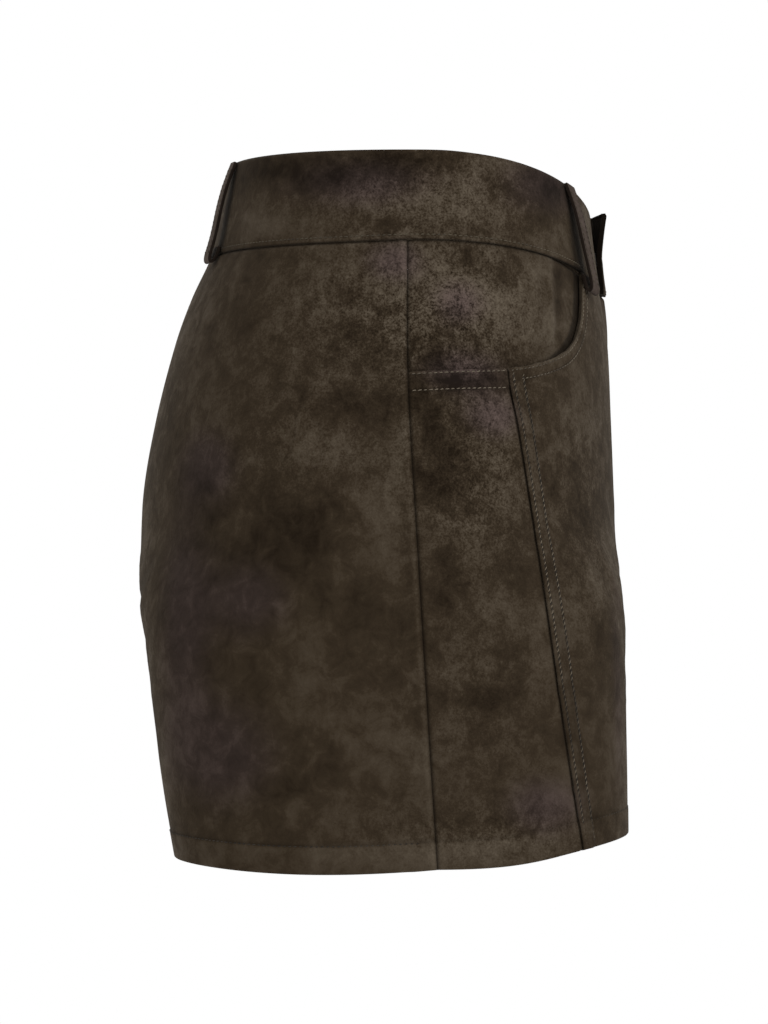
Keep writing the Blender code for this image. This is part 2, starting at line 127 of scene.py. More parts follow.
POCKET_MOUTH = [
    # y, z: from the waistband to the princess seam
    (-80.6, -30.0),
    (-80.6, -44.0),
    (-79.6, -57.0),
    (-76.9, -66.2),
    (-72.0, -73.0),
    (-64.5, -77.4),
    (-54.5, -80.6),
    (-43.5, -82.6),
]
POCKET_SIDE_Z = -84.6
POCKET_SIDE_DOWN = 0.22
FACING_Y = -86.0
FACING_BELOW = 14.0
BELT_LOOPS = [
    # name, round at the waist edge, round at the lower end, side
    ("belt_loop_front_right", 0.812, 0.847, -1),
    ("belt_loop_front_left", 0.812, 0.847, 1),
    ("belt_loop_back_right", 0.118, 0.118, -1),
    ("belt_loop_back_left", 0.118, 0.118, 1),
]
LOOP_PROFILE = [
    # down from the waist edge, height of the strip's middle above the form
    (0.9, 1.65),
    (7.0, 2.9),
    (15.0, 4.2),
    (25.0, 4.9),
    (35.0, 5.1),
    (43.0, 5.1),
    (48.0, 4.9),
    (50.7, 4.2),
    (51.6, 3.2),
    (50.6, 2.2),
    (48.0, 1.65),
    (43.5, 1.65),
]

print("rings of the form:", len(FORM), "and lines round it:", ", ".join(LINES))

# %% [markdown]
# ## The form under the cloth
# A dress form would give a maker the shape. Here it is a formula: a rounded ring at every
# height, which turns into two rings, one for each leg, between the seat and the crotch. A
# place on it has two numbers, round (0 at the centre back, 1 at the centre front) and down
# (0 at the waist seam, 1 at the hem). Whole arrays of places are worked out at once.

# %% Curves through a few points


def curve(pairs):
    """A smooth curve through (place, value) pairs, read at an array of places."""
    pairs = sorted(pairs)
    places = np.array([place for place, value in pairs], dtype=float)
    values = np.array([value for place, value in pairs], dtype=float)
    before = np.maximum(np.arange(len(pairs)) - 1, 0)
    after = np.minimum(np.arange(len(pairs)) + 1, len(pairs) - 1)
    slopes = (values[after] - values[before]) / (places[after] - places[before])

    def read(place):
        place = np.clip(place, places[0], places[-1])
        i = np.clip(np.searchsorted(places, place, side="right") - 1, 0, len(places) - 2)
        span = places[i + 1] - places[i]
        u = (place - places[i]) / span
        near = (1 + 2 * u) * (1 - u) ** 2 * values[i] + u * (1 - u) ** 2 * span * slopes[i]
        far = u * u * (3 - 2 * u) * values[i + 1] + u * u * (u - 1) * span * slopes[i + 1]
        return near + far

    return read


half_width_at = curve([(row[0], row[1]) for row in FORM])
back_at = curve([(row[0], row[2]) for row in FORM])
front_at = curve([(row[0], row[3]) for row in FORM])
side_seam_y = curve(SIDE_SEAM)
princess_y = curve(PRINCESS_SEAM)


def smooth_step(value):
    """0 below 0, 1 above 1, and a soft rise between them."""
    value = np.clip(value, 0.0, 1.0)
    return value * value * (3 - 2 * value)


def mixed(start, end, share):
    """The value that lies this share of the way from start to end."""
    return start + (end - start) * share


print("hips:", round(float(2 * half_width_at(-180))), "mm wide")

# %% Rings round the body and round a leg


def rounded(value):
    """A cosine or a sine, squared off towards a rounded rectangle."""
    return np.sign(value) * np.abs(value) ** (2 / SQUARENESS)


def torso_ring(around, z):
    """x and y on the ring round the body at height z."""
    turn = math.pi * around
    reach = np.where(around < 0.5, back_at(z) - SIDE_Y, SIDE_Y - front_at(z))
    x = half_width_at(z) * rounded(np.sin(turn))
    return x, SIDE_Y + reach * rounded(np.cos(turn))


def leg_ring(around, z, inner):
    """x and y on the ring round one leg, whose inner side lies at x = inner."""
    turn = 2 * math.pi * around
    radius = (half_width_at(z) - inner) / 2
    x = inner + radius * (1 - rounded(np.cos(turn)))
    middle = (back_at(z) + front_at(z)) / 2
    reach = (back_at(z) - front_at(z)) / 2
    return x, middle + reach * rounded(np.sin(turn))


def crotch_angle(down):
    """A quarter turn between the seat and the crotch, where the body becomes two legs."""
    return math.pi / 2 * np.clip((down - SEAT) / (CROTCH - SEAT), 0.0, 1.0)


def blended_ring(around, z, down):
    """x and y on the ring that is partly the body's and partly the leg's."""
    leg_share = 1 - np.cos(crotch_angle(down))
    torso_x, torso_y = torso_ring(around, z)
    leg_x, leg_y = leg_ring(around, z, INNER_LEG * smooth_step((down - CROTCH) / LEGS_PART))
    return mixed(torso_x, leg_x, leg_share), mixed(torso_y, leg_y, leg_share)


def side_height(down):
    """Height at the side of the form, this share of the way down."""
    return mixed(LINES["waist seam"][1], LINES["hem"][1], down)


DROP = side_height(0.0) - side_height(1.0)


# A blended row is widened a little, so that it still reaches the form's outline.
STRETCH_DOWN = np.linspace(0.0, 1.0, 241)
row_down = STRETCH_DOWN[:, None]
row_z = side_height(STRETCH_DOWN)
row_y = blended_ring(np.linspace(0.0, 1.0, 49)[None, :], side_height(row_down), row_down)[1]
BACK_STRETCH = (back_at(row_z) - SIDE_Y) / (row_y.max(axis=1) - SIDE_Y)
FRONT_STRETCH = (SIDE_Y - front_at(row_z)) / (SIDE_Y - row_y.min(axis=1))
print("widest stretch of a row:", round(float(FRONT_STRETCH.max()), 3))

# %% Places on the form


def line_height(name, x, y, z):
    """Height of a line at x and y, where the form's outline is read at height z."""
    back, side, front, power, side_ease, back_sag = LINES[name]
    widest = math.hypot(1.0, MIDDLE_ROUNDING)
    share = np.hypot(np.minimum(np.abs(x) / half_width_at(z), 1.0), MIDDLE_ROUNDING)
    share = (share - MIDDLE_ROUNDING) / (widest - MIDDLE_ROUNDING)
    inward = 1 - share ** power
    to_back = np.clip((y - SIDE_Y) / (back_at(z) - SIDE_Y), 0.0, 1.0)
    to_front = np.clip((SIDE_Y - y) / (SIDE_Y - front_at(z)), 0.0, 1.0)
    sag = back_sag * 4 * to_back * (1 - to_back)
    behind = side + (back - side) * inward * smooth_step(to_back / side_ease) - sag
    before = side + (front - side) * inward * smooth_step(to_front / side_ease)
    return np.where(y > SIDE_Y, behind, before)


def form_points(around, down):
    """Points of the form, from the waist seam (down 0) to the hem (down 1)."""
    around, down = np.broadcast_arrays(np.asarray(around, float), np.asarray(down, float))
    down = np.clip(down, 0.0, 1.0)
    z = side_height(down)
    for again in range(2):
        x, y = blended_ring(around, z, down)
        back = np.interp(down, STRETCH_DOWN, BACK_STRETCH)
        front = np.interp(down, STRETCH_DOWN, FRONT_STRETCH)
        y = SIDE_Y + (y - SIDE_Y) * np.where(y > SIDE_Y, back, front)
        z = mixed(line_height("waist seam", x, y, z), line_height("hem", x, y, z), down)
    angle = crotch_angle(down)
    rise = side_height(SEAT) - side_height(CROTCH)
    near_middle = np.minimum(np.abs(around), np.abs(1 - around))
    end_share = np.maximum(0.0, 1 - near_middle / CROTCH_REACH) ** 2
    z = z - rise * (np.sin(angle) - angle / (math.pi / 2)) * end_share
    return np.stack([x, y, z], axis=-1)


def band_points(around, share):
    """Points of the form under the waistband, from its upper edge to the waist seam."""
    around, share = np.broadcast_arrays(np.asarray(around, float), np.asarray(share, float))
    z = mixed(LINES["waist edge"][1], LINES["waist seam"][1], share)
    for again in range(2):
        x, y = torso_ring(around, z)
        z = mixed(line_height("waist edge", x, y, z), line_height("waist seam", x, y, z), share)
    return np.stack([x, y, z], axis=-1)


def outward(points_at, around, down):
    """The directions straight out of the form at these places."""
    step = 0.004
    ahead = points_at(around + step, down) - points_at(around - step, down)
    low = np.minimum(down + step, 1.0)
    high = np.maximum(down - step, 0.0)
    below = points_at(around, low) - points_at(around, high)
    out = np.cross(ahead, below)
    return out / np.linalg.norm(out, axis=-1, keepdims=True)


def round_at(down, y):
    """Where rows of the form, followed from the back over the side, reach these y."""
    down, y = np.broadcast_arrays(np.asarray(down, float), np.asarray(y, float))
    tries = np.linspace(0.25, 1.0, 65)
    seen = form_points(tries, down[..., None])[..., 1] <= y[..., None]
    first = np.where(seen.any(axis=-1), seen.argmax(axis=-1), len(tries) - 1)
    before = tries[np.maximum(first - 1, 0)]
    here = tries[first]
    for again in range(18):
        middle = (before + here) / 2
        short = form_points(middle, down)[..., 1] > y
        before = np.where(short, middle, before)
        here = np.where(short, here, middle)
    return (before + here) / 2


def place_at(y, z):
    """The round and down numbers of points that the side view shows at y and z."""
    y, z = np.broadcast_arrays(np.asarray(y, float), np.asarray(z, float))
    high = np.zeros(y.shape)
    low = np.ones(y.shape)
    for again in range(20):
        down = (high + low) / 2
        above = form_points(round_at(down, y), down)[..., 2] > z
        high = np.where(above, down, high)
        low = np.where(above, low, down)
    return round_at(down, y), down


def round_from_middle(points_at, distance, down):
    """The round numbers of places at the front, this far from the middle plane."""
    down, distance = np.broadcast_arrays(np.asarray(down, float), np.asarray(distance, float))
    near = np.full(down.shape, 0.6)
    far = np.ones(down.shape)
    for again in range(24):
        middle = (near + far) / 2
        outside = points_at(middle, down)[..., 0] > distance
        near = np.where(outside, middle, near)
        far = np.where(outside, far, middle)
    return (near + far) / 2


def side_seam(down):
    """The round number of the side seam, this share of the way down."""
    return round_at(down, side_seam_y(down))


def princess_seam(down):
    """The same for the seam between the side front and the centre front."""
    return round_at(down, princess_y(down))


MOUTH = [place_at(y, z) for y, z in POCKET_MOUTH[1:]]
MOUTH_TOP = float(round_at(0.0, POCKET_MOUTH[0][0]))
MOUTH_AT_PRINCESS = float(MOUTH[-1][1])
MOUTH_SIDE_Y = float(side_seam_y(POCKET_SIDE_DOWN))
MOUTH_AT_SIDE = float(place_at(MOUTH_SIDE_Y, POCKET_SIDE_Z)[1])
print("pocket mouth, down:", round(MOUTH_AT_SIDE, 3), round(MOUTH_AT_PRINCESS, 3))


def mouth_places(shares):
    """Places on the pocket mouth: share 0 at the waistband, 1 at the princess seam."""
    rounds = np.array([MOUTH_TOP] + [float(place[0]) for place in MOUTH])
    downs = np.array([0.0] + [float(place[1]) for place in MOUTH])
    points = form_points(rounds, downs)
    steps = np.linalg.norm(np.diff(points, axis=0), axis=1)
    lengths = np.concatenate([[0.0], np.cumsum(steps)])
    lengths = lengths / lengths[-1]
    around = curve(list(zip(lengths, rounds)))
    down = curve(list(zip(lengths, downs)))
    return around(shares), down(shares)


# %% [markdown]
# ## Where the suede is worn
# Suede fades unevenly, in paler and darker patches; the darkening round the seams and in
# hollows is painted shade, which the sheets carry apart. A painter would brush the patches on
# by hand, so they are a short table of soft strokes on the right side, placed in side view. The
# left side has the
# same strokes a little shifted. What faces the front or the back has tables of its own, and
# the material breaks the strokes' edges up later.

# %% A table of pale and dark strokes
PATCHES = [
    # y, z, half_length, half_height, turn in degrees, strength (less than 0 is dark)
    # the waistband
    (-14, -5, 26, 12, 6, 0.95),
    (-36, 12, 18, 9, -20, 0.45),
    (28, -4, 20, 9, 0, 0.45),
    (74, -13, 24, 9, 12, 0.55),
    (60, 12, 40, 9, 6, -1.05),
    (10, 15, 18, 7, 0, -0.70),
    (-66, 6, 18, 12, -30, -0.70),
    (-58, -26, 12, 8, -20, 0.25),
    (6, -14, 10, 6, 0, -0.35),
    # the back panel, its upper part
    (8, -34, 14, 12, 0, 0.60),
    (36, -38, 18, 10, 10, 0.60),
    (56, -58, 20, 22, 30, 0.50),
    (30, -86, 16, 9, 0, 0.30),
    (34, -70, 14, 10, 0, -0.40),
    (12, -66, 9, 16, 0, 0.40),
    (20, -100, 34, 9, -8, -0.65),
    (54, -108, 14, 16, 0, 0.25),
    (78, -60, 12, 26, 20, -0.25),
    (96, -100, 10, 30, 12, 0.15),
    (36, -122, 22, 14, 20, 0.40),
    (8, -124, 8, 22, 0, 0.35),
    # the back panel, its lower part
    (64, -160, 26, 20, -20, -0.75),
    (22, -150, 15, 12, 0, 0.40),
    (10, -182, 10, 18, 0, 0.30),
    (34, -190, 18, 14, 30, -0.35),
    (100, -150, 14, 22, 0, -0.30),
    (96, -214, 26, 24, 10, -0.30),
    (46, -232, 24, 14, 0, 0.20),
    (12, -226, 14, 20, 15, -0.25),
    (6, -262, 14, 16, 0, 0.35),
    (62, -270, 30, 16, -10, -0.25),
    (30, -290, 20, 10, 0, 0.15),
    (112, -246, 10, 40, 8, 0.20),
    (30, -310, 24, 6, 0, 0.35),
    # inside the pocket mouth
    (-20, -48, 24, 16, 10, 0.85),
    (-40, -58, 20, 14, 0, 0.60),
    (-8, -34, 10, 9, 0, 0.40),
    (-22, -32, 8, 8, 0, -0.55),
    (-44, -38, 6, 12, 30, -0.45),
    (-56, -36, 10, 10, 0, 0.45),
    (-30, -62, 12, 6, -10, -0.50),
    (-12, -76, 14, 7, 0, -0.50),
    (-62, -60, 12, 16, 5, 0.40),
    (-66, -42, 5, 12, 5, -0.35),
    # the side front panel
    (-22, -90, 20, 5, 0, -0.50),
    (-8, -106, 9, 13, 0, -0.65),
    (-38, -108, 12, 14, -30, 0.75),
    (-14, -134, 12, 14, 0, -0.60),
    (-42, -136, 11, 14, 0, 0.35),
    (-26, -160, 14, 9, 20, 0.50),
    (-14, -182, 9, 13, 0, -0.50),
    (-48, -176, 9, 20, 10, -0.30),
    (-34, -196, 13, 9, 0, 0.35),
    (-22, -218, 16, 8, 0, 0.30),
    (-36, -236, 15, 10, 0, -0.50),
    (-56, -232, 7, 22, 12, 0.25),
    (-34, -262, 18, 10, 0, 0.20),
    (-66, -284, 13, 12, 0, 0.70),
    (-22, -307, 26, 7, -4, 0.60),
    (-68, -268, 6, 3, 25, 0.50),
    # the centre front panel
    (-76, -106, 12, 14, 0, 0.40),
    (-92, -122, 8, 20, 0, 0.30),
    (-84, -152, 11, 14, 0, -0.45),
    (-84, -184, 9, 10, 0, 0.40),
    (-92, -208, 10, 12, 0, -0.45),
    (-98, -178, 5, 30, 0, 0.30),
    (-96, -250, 10, 22, 0, 0.35),
    (-84, -290, 8, 12, 0, -0.25),
]
FRONT_PATCHES = [
    # x, z, half_length, half_height, turn, strength: on what faces the front
    (-34, -78, 22, 26, 30, 0.45),
    (40, -66, 24, 20, -25, 0.50),
    (-84, -128, 26, 18, 20, -0.45),
    (86, -150, 28, 20, -30, -0.50),
    (-120, -176, 20, 30, 0, 0.40),
    (28, -136, 20, 24, 10, -0.35),
    (-30, -182, 24, 16, -20, 0.40),
    (66, -206, 26, 20, 25, 0.45),
    (128, -232, 20, 28, 0, -0.40),
    (-76, -238, 30, 18, 15, -0.45),
    (-120, -282, 24, 14, 0, 0.35),
    (60, -276, 26, 16, -10, 0.40),
    (-52, -12, 30, 10, 8, 0.45),
    (62, -6, 28, 10, -8, -0.50),
]
BACK_PATCHES = [
    # x, z, half_length, half_height, turn, strength: on what faces the back
    (-40, -62, 28, 20, 20, 0.45),
    (52, -84, 26, 24, -30, -0.45),
    (-88, -118, 24, 26, 10, -0.50),
    (96, -132, 28, 20, 0, 0.45),
    (-30, -150, 26, 20, -25, 0.40),
    (44, -176, 28, 22, 20, 0.30),
    (-112, -196, 24, 26, 0, 0.35),
    (118, -218, 22, 30, 0, -0.45),
    (-62, -238, 30, 18, 15, -0.45),
    (66, -262, 30, 16, -15, 0.40),
    (-110, -284, 26, 14, 0, 0.30),
    (-70, 0, 26, 12, 0, -0.45),
    (14, 2, 30, 12, 5, 0.40),
    (84, -4, 24, 12, 0, -0.35),
]
MAUVE = [
    # y, z, half_length, half_height: where the dye has turned from olive to mauve
    (26, 6, 40, 14),
    (-64, 8, 26, 18),
    (10, -32, 16, 12),
    (98, -128, 16, 20),
    (78, -190, 22, 20),
    (110, -196, 14, 50),
    (92, -262, 30, 30),
    (-22, -84, 24, 12),
    (-36, -106, 16, 12),
    (-20, -52, 14, 12),
    (-60, -286, 22, 16),
    (-98, -60, 8, 34),
    (-98, -220, 6, 60),
]
GRAIN = [
    # y, z, half_length, half_height, turn, strength: where the speckle of the nap is strongest
    (-10, 4, 62, 26, 0, 0.75),
    (-20, -56, 40, 34, 0, 1.00),
    (30, -60, 42, 36, 0, 0.55),
    (-26, -130, 30, 46, 0, 0.85),
    (-30, -230, 34, 50, 0, 0.35),
    (-84, -150, 20, 60, 0, 0.55),
    (48, -122, 46, 34, 0, 0.35),
    (-40, -300, 60, 14, 0, 0.45),
]
LEFT_SHIFT = (7.0, -5.0)


def strokes(points, side, table):
    """Sum of the soft strokes of a table at points of the form, as seen from the side."""
    left = np.asarray(side) > 0
    y = points[..., 1] + LEFT_SHIFT[0] * left
    z = points[..., 2] + LEFT_SHIFT[1] * left
    return brushed(y, z, table)


def brushed(across, up, table):
    """Sum of a table's soft strokes at two flat coordinates."""
    total = np.zeros(across.shape)
    for row in table:
        turn = math.radians(row[4]) if len(row) > 4 else 0.0
        strength = row[5] if len(row) > 5 else 1.0
        along = (across - row[0]) * math.cos(turn) + (up - row[1]) * math.sin(turn)
        square = (up - row[1]) * math.cos(turn) - (across - row[0]) * math.sin(turn)
        total += strength * np.exp(-((along / row[2]) ** 2 + (square / row[3]) ** 2))
    return total


print("strokes:", len(PATCHES), "and", len(MAUVE), "mauve ones")

# %% [markdown]
# ## Creases
# Worn suede keeps soft creases: short troughs with a low ridge beside them, of uneven length
# and depth. Each is placed from one place on the form to another, with a bow. They
# could be simulated, but this cloth is filled out and nearly smooth, and the few creases it
# has are where they are in the picture.

# %% A table of creases
HALF_GIRTH = 470.0
SIDE_LENGTH = 295.0
CREASE_SHIFT = 0.012
CREASE_WANDER = 1.4
RIDGE = 0.4
CREASES = [
    # round_a, down_a, round_b, down_b, bow, width, depth
    # on the back panel, towards the side
    (0.30, 0.30, 0.44, 0.34, 6.0, 9.0, 0.35),
    (0.36, 0.47, 0.47, 0.44, -5.0, 7.0, 0.30),
    (0.22, 0.40, 0.34, 0.52, 8.0, 12.0, 0.45),
    (0.40, 0.16, 0.48, 0.13, 3.0, 6.0, 0.22),
    (0.33, 0.63, 0.45, 0.60, 5.0, 10.0, 0.30),
    # across the seat and under it
    (0.03, 0.60, 0.20, 0.47, 9.0, 14.0, 0.90),
    (0.05, 0.72, 0.24, 0.60, 9.0, 13.0, 0.70),
    (0.02, 0.47, 0.12, 0.40, 6.0, 12.0, 0.50),
    (0.10, 0.84, 0.28, 0.78, 6.0, 13.0, 0.45),
    (0.05, 0.14, 0.14, 0.05, 4.0, 10.0, 0.30),
    # at the pocket, and from the fly over the thigh
    (0.665, 0.07, 0.675, 0.24, 2.0, 5.0, -0.45),
    (0.70, 0.05, 0.715, 0.22, 2.0, 5.0, 0.50),
    (0.56, 0.10, 0.60, 0.19, 3.0, 5.0, 0.25),
    (0.98, 0.44, 0.84, 0.34, -6.0, 11.0, 0.60),
    (0.99, 0.56, 0.86, 0.47, -8.0, 12.0, 0.80),
    (0.99, 0.66, 0.85, 0.58, -8.0, 12.0, 0.65),
    (0.97, 0.78, 0.83, 0.72, -5.0, 11.0, 0.40),
    (0.80, 0.40, 0.80, 0.80, 4.0, 15.0, -0.45),
    (0.62, 0.50, 0.70, 0.44, 4.0, 8.0, 0.25),
    (0.56, 0.72, 0.68, 0.70, 3.0, 9.0, 0.25),
    (0.60, 0.90, 0.70, 0.87, 2.0, 6.0, 0.22),
]


def creases(around, down, side):
    """Height of the creases at these places: a trough, and a low ridge on its lower side."""
    height = np.zeros(np.broadcast(around, down).shape)
    for number, (round_a, down_a, round_b, down_b, bow, width, depth) in enumerate(CREASES):
        shift = 0.0 if side < 0 else CREASE_SHIFT * math.cos(number * 2.1)
        start = np.array([(round_a + shift) * HALF_GIRTH, (down_a - shift) * SIDE_LENGTH])
        end = np.array([(round_b - shift) * HALF_GIRTH, (down_b + shift) * SIDE_LENGTH])
        length = np.linalg.norm(end - start)
        run = (end - start) / length
        u = around * HALF_GIRTH - start[0]
        v = down * SIDE_LENGTH - start[1]
        along = (u * run[0] + v * run[1]) / length
        across = v * run[0] - u * run[1] - bow * 4 * along * (1 - along)
        across = across + CREASE_WANDER * np.sin(along * 9.0 + number)
        ends = smooth_step(along / 0.35) * smooth_step((1 - along) / 0.45)
        trough = np.exp(-(across / width * 2) ** 2)
        ridge = RIDGE * np.exp(-((across - width * 0.9) / width * 1.6) ** 2)
        height += depth * ends * (ridge - trough)
    return height


print("creases on each side:", len(CREASES))

# %% [markdown]
# ## Laying a sheet of suede
# A panel is a flat grid primitive whose points are moved to their places on the form, as
# cloth is laid on a dress form. Its columns and rows crowd together at the edges, where the
# cloth turns into a seam. Each point keeps how pale the nap is there, how much shade is
# painted on it in folds, seams and hollows, and its place on the flat cloth; the material reads
# the first two.

# %% A grid with crowded edges


def graded(count, crowd=0.8):
    """Shares from 0 to 1 that crowd together at both ends."""
    even = np.linspace(0.0, 1.0, count + 1)
    return even - crowd * np.sin(2 * math.pi * even) / (2 * math.pi)


def lengths_along(points, axis):
    """How far each point of a grid lies along its own row (axis 1) or column (axis 0)."""
    steps = np.linalg.norm(np.diff(points, axis=axis), axis=-1)
    total = np.cumsum(steps, axis=axis)
    start = np.zeros_like(np.take(total, [0], axis=axis))
    return np.concatenate([start, total], axis=axis)


def edges_of(points):
    """How far each point lies from the first and last column and row, in millimetres."""
    across = lengths_along(points, 1)
    down = lengths_along(points, 0)
    return {
        "left": across,
        "right": across[:, -1:] - across,
        "top": down,
        "bottom": down[-1:, :] - down,
    }


def bump(distance, middle, width):
    """A soft ridge at this distance from an edge, 1 mm high."""
    return np.exp(-((distance - middle) / width) ** 2)


def handed(hand):
    """Factors that put worked points on the wearer's left (1) or right (-1)."""
    ones = np.ones_like(hand)
    return np.stack([hand, ones, ones], axis=-1)


def deselect():
    """Operators act on all that is selected, so nothing stays selected."""
    bpy.ops.object.select_all(action="DESELECT")


print("a graded row:", np.round(graded(6), 3))

# %% From places to a mesh


def read_grid(mesh, columns, rows):
    """The row and column of every point of a grid primitive of size 1."""
    flat = np.empty(len(mesh.vertices) * 3)
    mesh.vertices.foreach_get("co", flat)
    flat = flat.reshape(-1, 3)
    column = np.rint((flat[:, 0] + 0.5) * columns).astype(int)
    row = np.rint((0.5 - flat[:, 1]) * rows).astype(int)
    return row, column


def write_attribute(mesh, name, values):
    """One number a point, which a material can read by this name."""
    layer = mesh.attributes.new(name, "FLOAT", "POINT")
    layer.data.foreach_set("value", np.asarray(values, dtype=np.float32))


def lay_sheet(name, points, facts, side):
    """A grid primitive laid on points (rows by columns by 3, in millimetres).

    facts holds arrays for the material: pale, mauve, grain, and the painted shade of folds, seams
    and hollows.
    """
    rows = points.shape[0] - 1
    columns = points.shape[1] - 1
    deselect()
    bpy.ops.mesh.primitive_grid_add(x_subdivisions=columns, y_subdivisions=rows, size=1)
    piece = bpy.context.active_object
    piece.name = name
    mesh = piece.data
    mesh.name = name
    row, column = read_grid(mesh, columns, rows)
    placed = points[row, column] * handed(side) * MM
    mesh.vertices.foreach_set("co", placed.ravel())
    across = lengths_along(points, 1)
    across = across - across[:, -1:] / 2
    down = lengths_along(points, 0)
    flat = np.stack([across[row, column], -down[row, column]], axis=-1) * MM
    corner = np.empty(len(mesh.loops), dtype=np.int64)
    mesh.loops.foreach_get("vertex_index", corner)
    cloth = mesh.uv_layers.active or mesh.uv_layers.new()
    cloth.name = "cloth"
    cloth.data.foreach_set("uv", flat[corner].ravel().astype(np.float32))
    for fact, values in facts.items():
        write_attribute(mesh, fact, values[row, column])
    if side > 0:
        mesh.flip_normals()
    mesh.update()
    return piece


def give_wall(piece, wall, finish, offset=-1.0, soft=0.0, sharp=50):
    """The sheet's wall with its rim: inwards at offset -1, about the middle at 0."""
    deselect()
    piece.select_set(True)
    bpy.context.view_layer.objects.active = piece
    shell = piece.modifiers.new("wall", "SOLIDIFY")
    shell.thickness = wall * MM
    shell.offset = offset
    shell.use_even_offset = False
    bpy.ops.object.modifier_apply(modifier="wall")
    if soft:
        edges = piece.modifiers.new("soft edges", "BEVEL")
        edges.width = soft * MM
        edges.segments = 2
        edges.limit_method = "ANGLE"
        bpy.ops.object.modifier_apply(modifier="soft edges")
    bpy.ops.object.shade_smooth_by_angle(angle=math.radians(sharp))
    piece.data.materials.clear()
    piece.data.materials.append(finish)


def cloth_area(points):
    """Area of a laid sheet in square metres."""
    a = points[1:, 1:] - points[:-1, :-1]
    b = points[1:, :-1] - points[:-1, 1:]
    return float(np.linalg.norm(np.cross(a, b), axis=-1).sum() / 2 * MM * MM)


print("area of a square of 10 mm:", cloth_area(np.mgrid[0:11:10, 0:11:10, 0:1][..., 0].T), "m2")

# %% [markdown]
# ## The suede itself
# Under a lens suede is a short nap over a grainy skin. Three things give it away: a mottled
# colour at the scale of a hand, a fine speckle at the scale of a pinhead, and a pale sheen
# where the nap is seen from the side. A node group makes the first two, so that every panel,
# the waistband and the belt loops share it, and the sheen stays on the shader.

# %% The node group for brushed suede


def group_socket(group, name, kind, value=None, direction="INPUT"):
    """An input or an output on the group's own box."""
    made = group.interface.new_socket(name=name, in_out=direction, socket_type=kind)
    if value is not None:
        made.default_value = value
    return made


def link(group, start, end):
    group.links.new(start, end)


def noise(group, vector, scale, detail, roughness, distortion=0.0, output="Fac"):
    made = group.nodes.new("ShaderNodeTexNoise")
    made.inputs["Scale"].default_value = scale
    made.inputs["Detail"].default_value = detail
    made.inputs["Roughness"].default_value = roughness
    made.inputs["Distortion"].default_value = distortion
    link(group, vector, made.inputs["Vector"])
    return made.outputs[output]


def worked_out(group, kind, first, second):
    """A Math node; first and second are sockets or numbers."""
    made = group.nodes.new("ShaderNodeMath")
    made.operation = kind
    for number, value in enumerate((first, second)):
        if isinstance(value, (int, float)):
            made.inputs[number].default_value = value
        else:
            link(group, value, made.inputs[number])
    return made.outputs[0]


def plus(group, first, second):
    return worked_out(group, "ADD", first, second)


def times(group, first, second):
    return worked_out(group, "MULTIPLY", first, second)


def swing(group, value, amount):
    """A noise about nothing: half of it darkens and half of it lightens."""
    return times(group, worked_out(group, "SUBTRACT", value, 0.5), amount)


def spread(group, value, low, high, new_low=0.0, new_high=1.0, smooth=True):
    """A Map Range node: values from low to high become new_low to new_high."""
    made = group.nodes.new("ShaderNodeMapRange")
    made.interpolation_type = "SMOOTHSTEP" if smooth else "LINEAR"
    made.inputs["From Min"].default_value = low
    made.inputs["From Max"].default_value = high
    made.inputs["To Min"].default_value = new_low
    made.inputs["To Max"].default_value = new_high
    link(group, value, made.inputs["Value"])
    return made.outputs["Result"]


def blended(group, share, first, second, kind="MIX"):
    """A colour mix; share is a socket or a number, the others sockets or colours."""
    made = group.nodes.new("ShaderNodeMix")
    made.data_type = "RGBA"
    made.blend_type = kind
    for name, value in (("Factor_Float", share), ("A_Color", first), ("B_Color", second)):
        socket = next(s for s in made.inputs if s.identifier == name)
        if hasattr(value, "is_linked"):
            link(group, value, socket)
        else:
            socket.default_value = value
    return next(s for s in made.outputs if s.identifier == "Result_Color")


def fact(group, name):
    """What write_attribute kept in the mesh under this name."""
    made = group.nodes.new("ShaderNodeAttribute")
    made.attribute_name = name
    return made.outputs["Fac"]


# painted shade: the attribute value at which a point is fully darkened, and the colour of that
# shade
FULL_PAINTED_SHADE = 1.33
PAINTED_SHADE_COLOUR = (0.0045, 0.0030, 0.0020, 1)


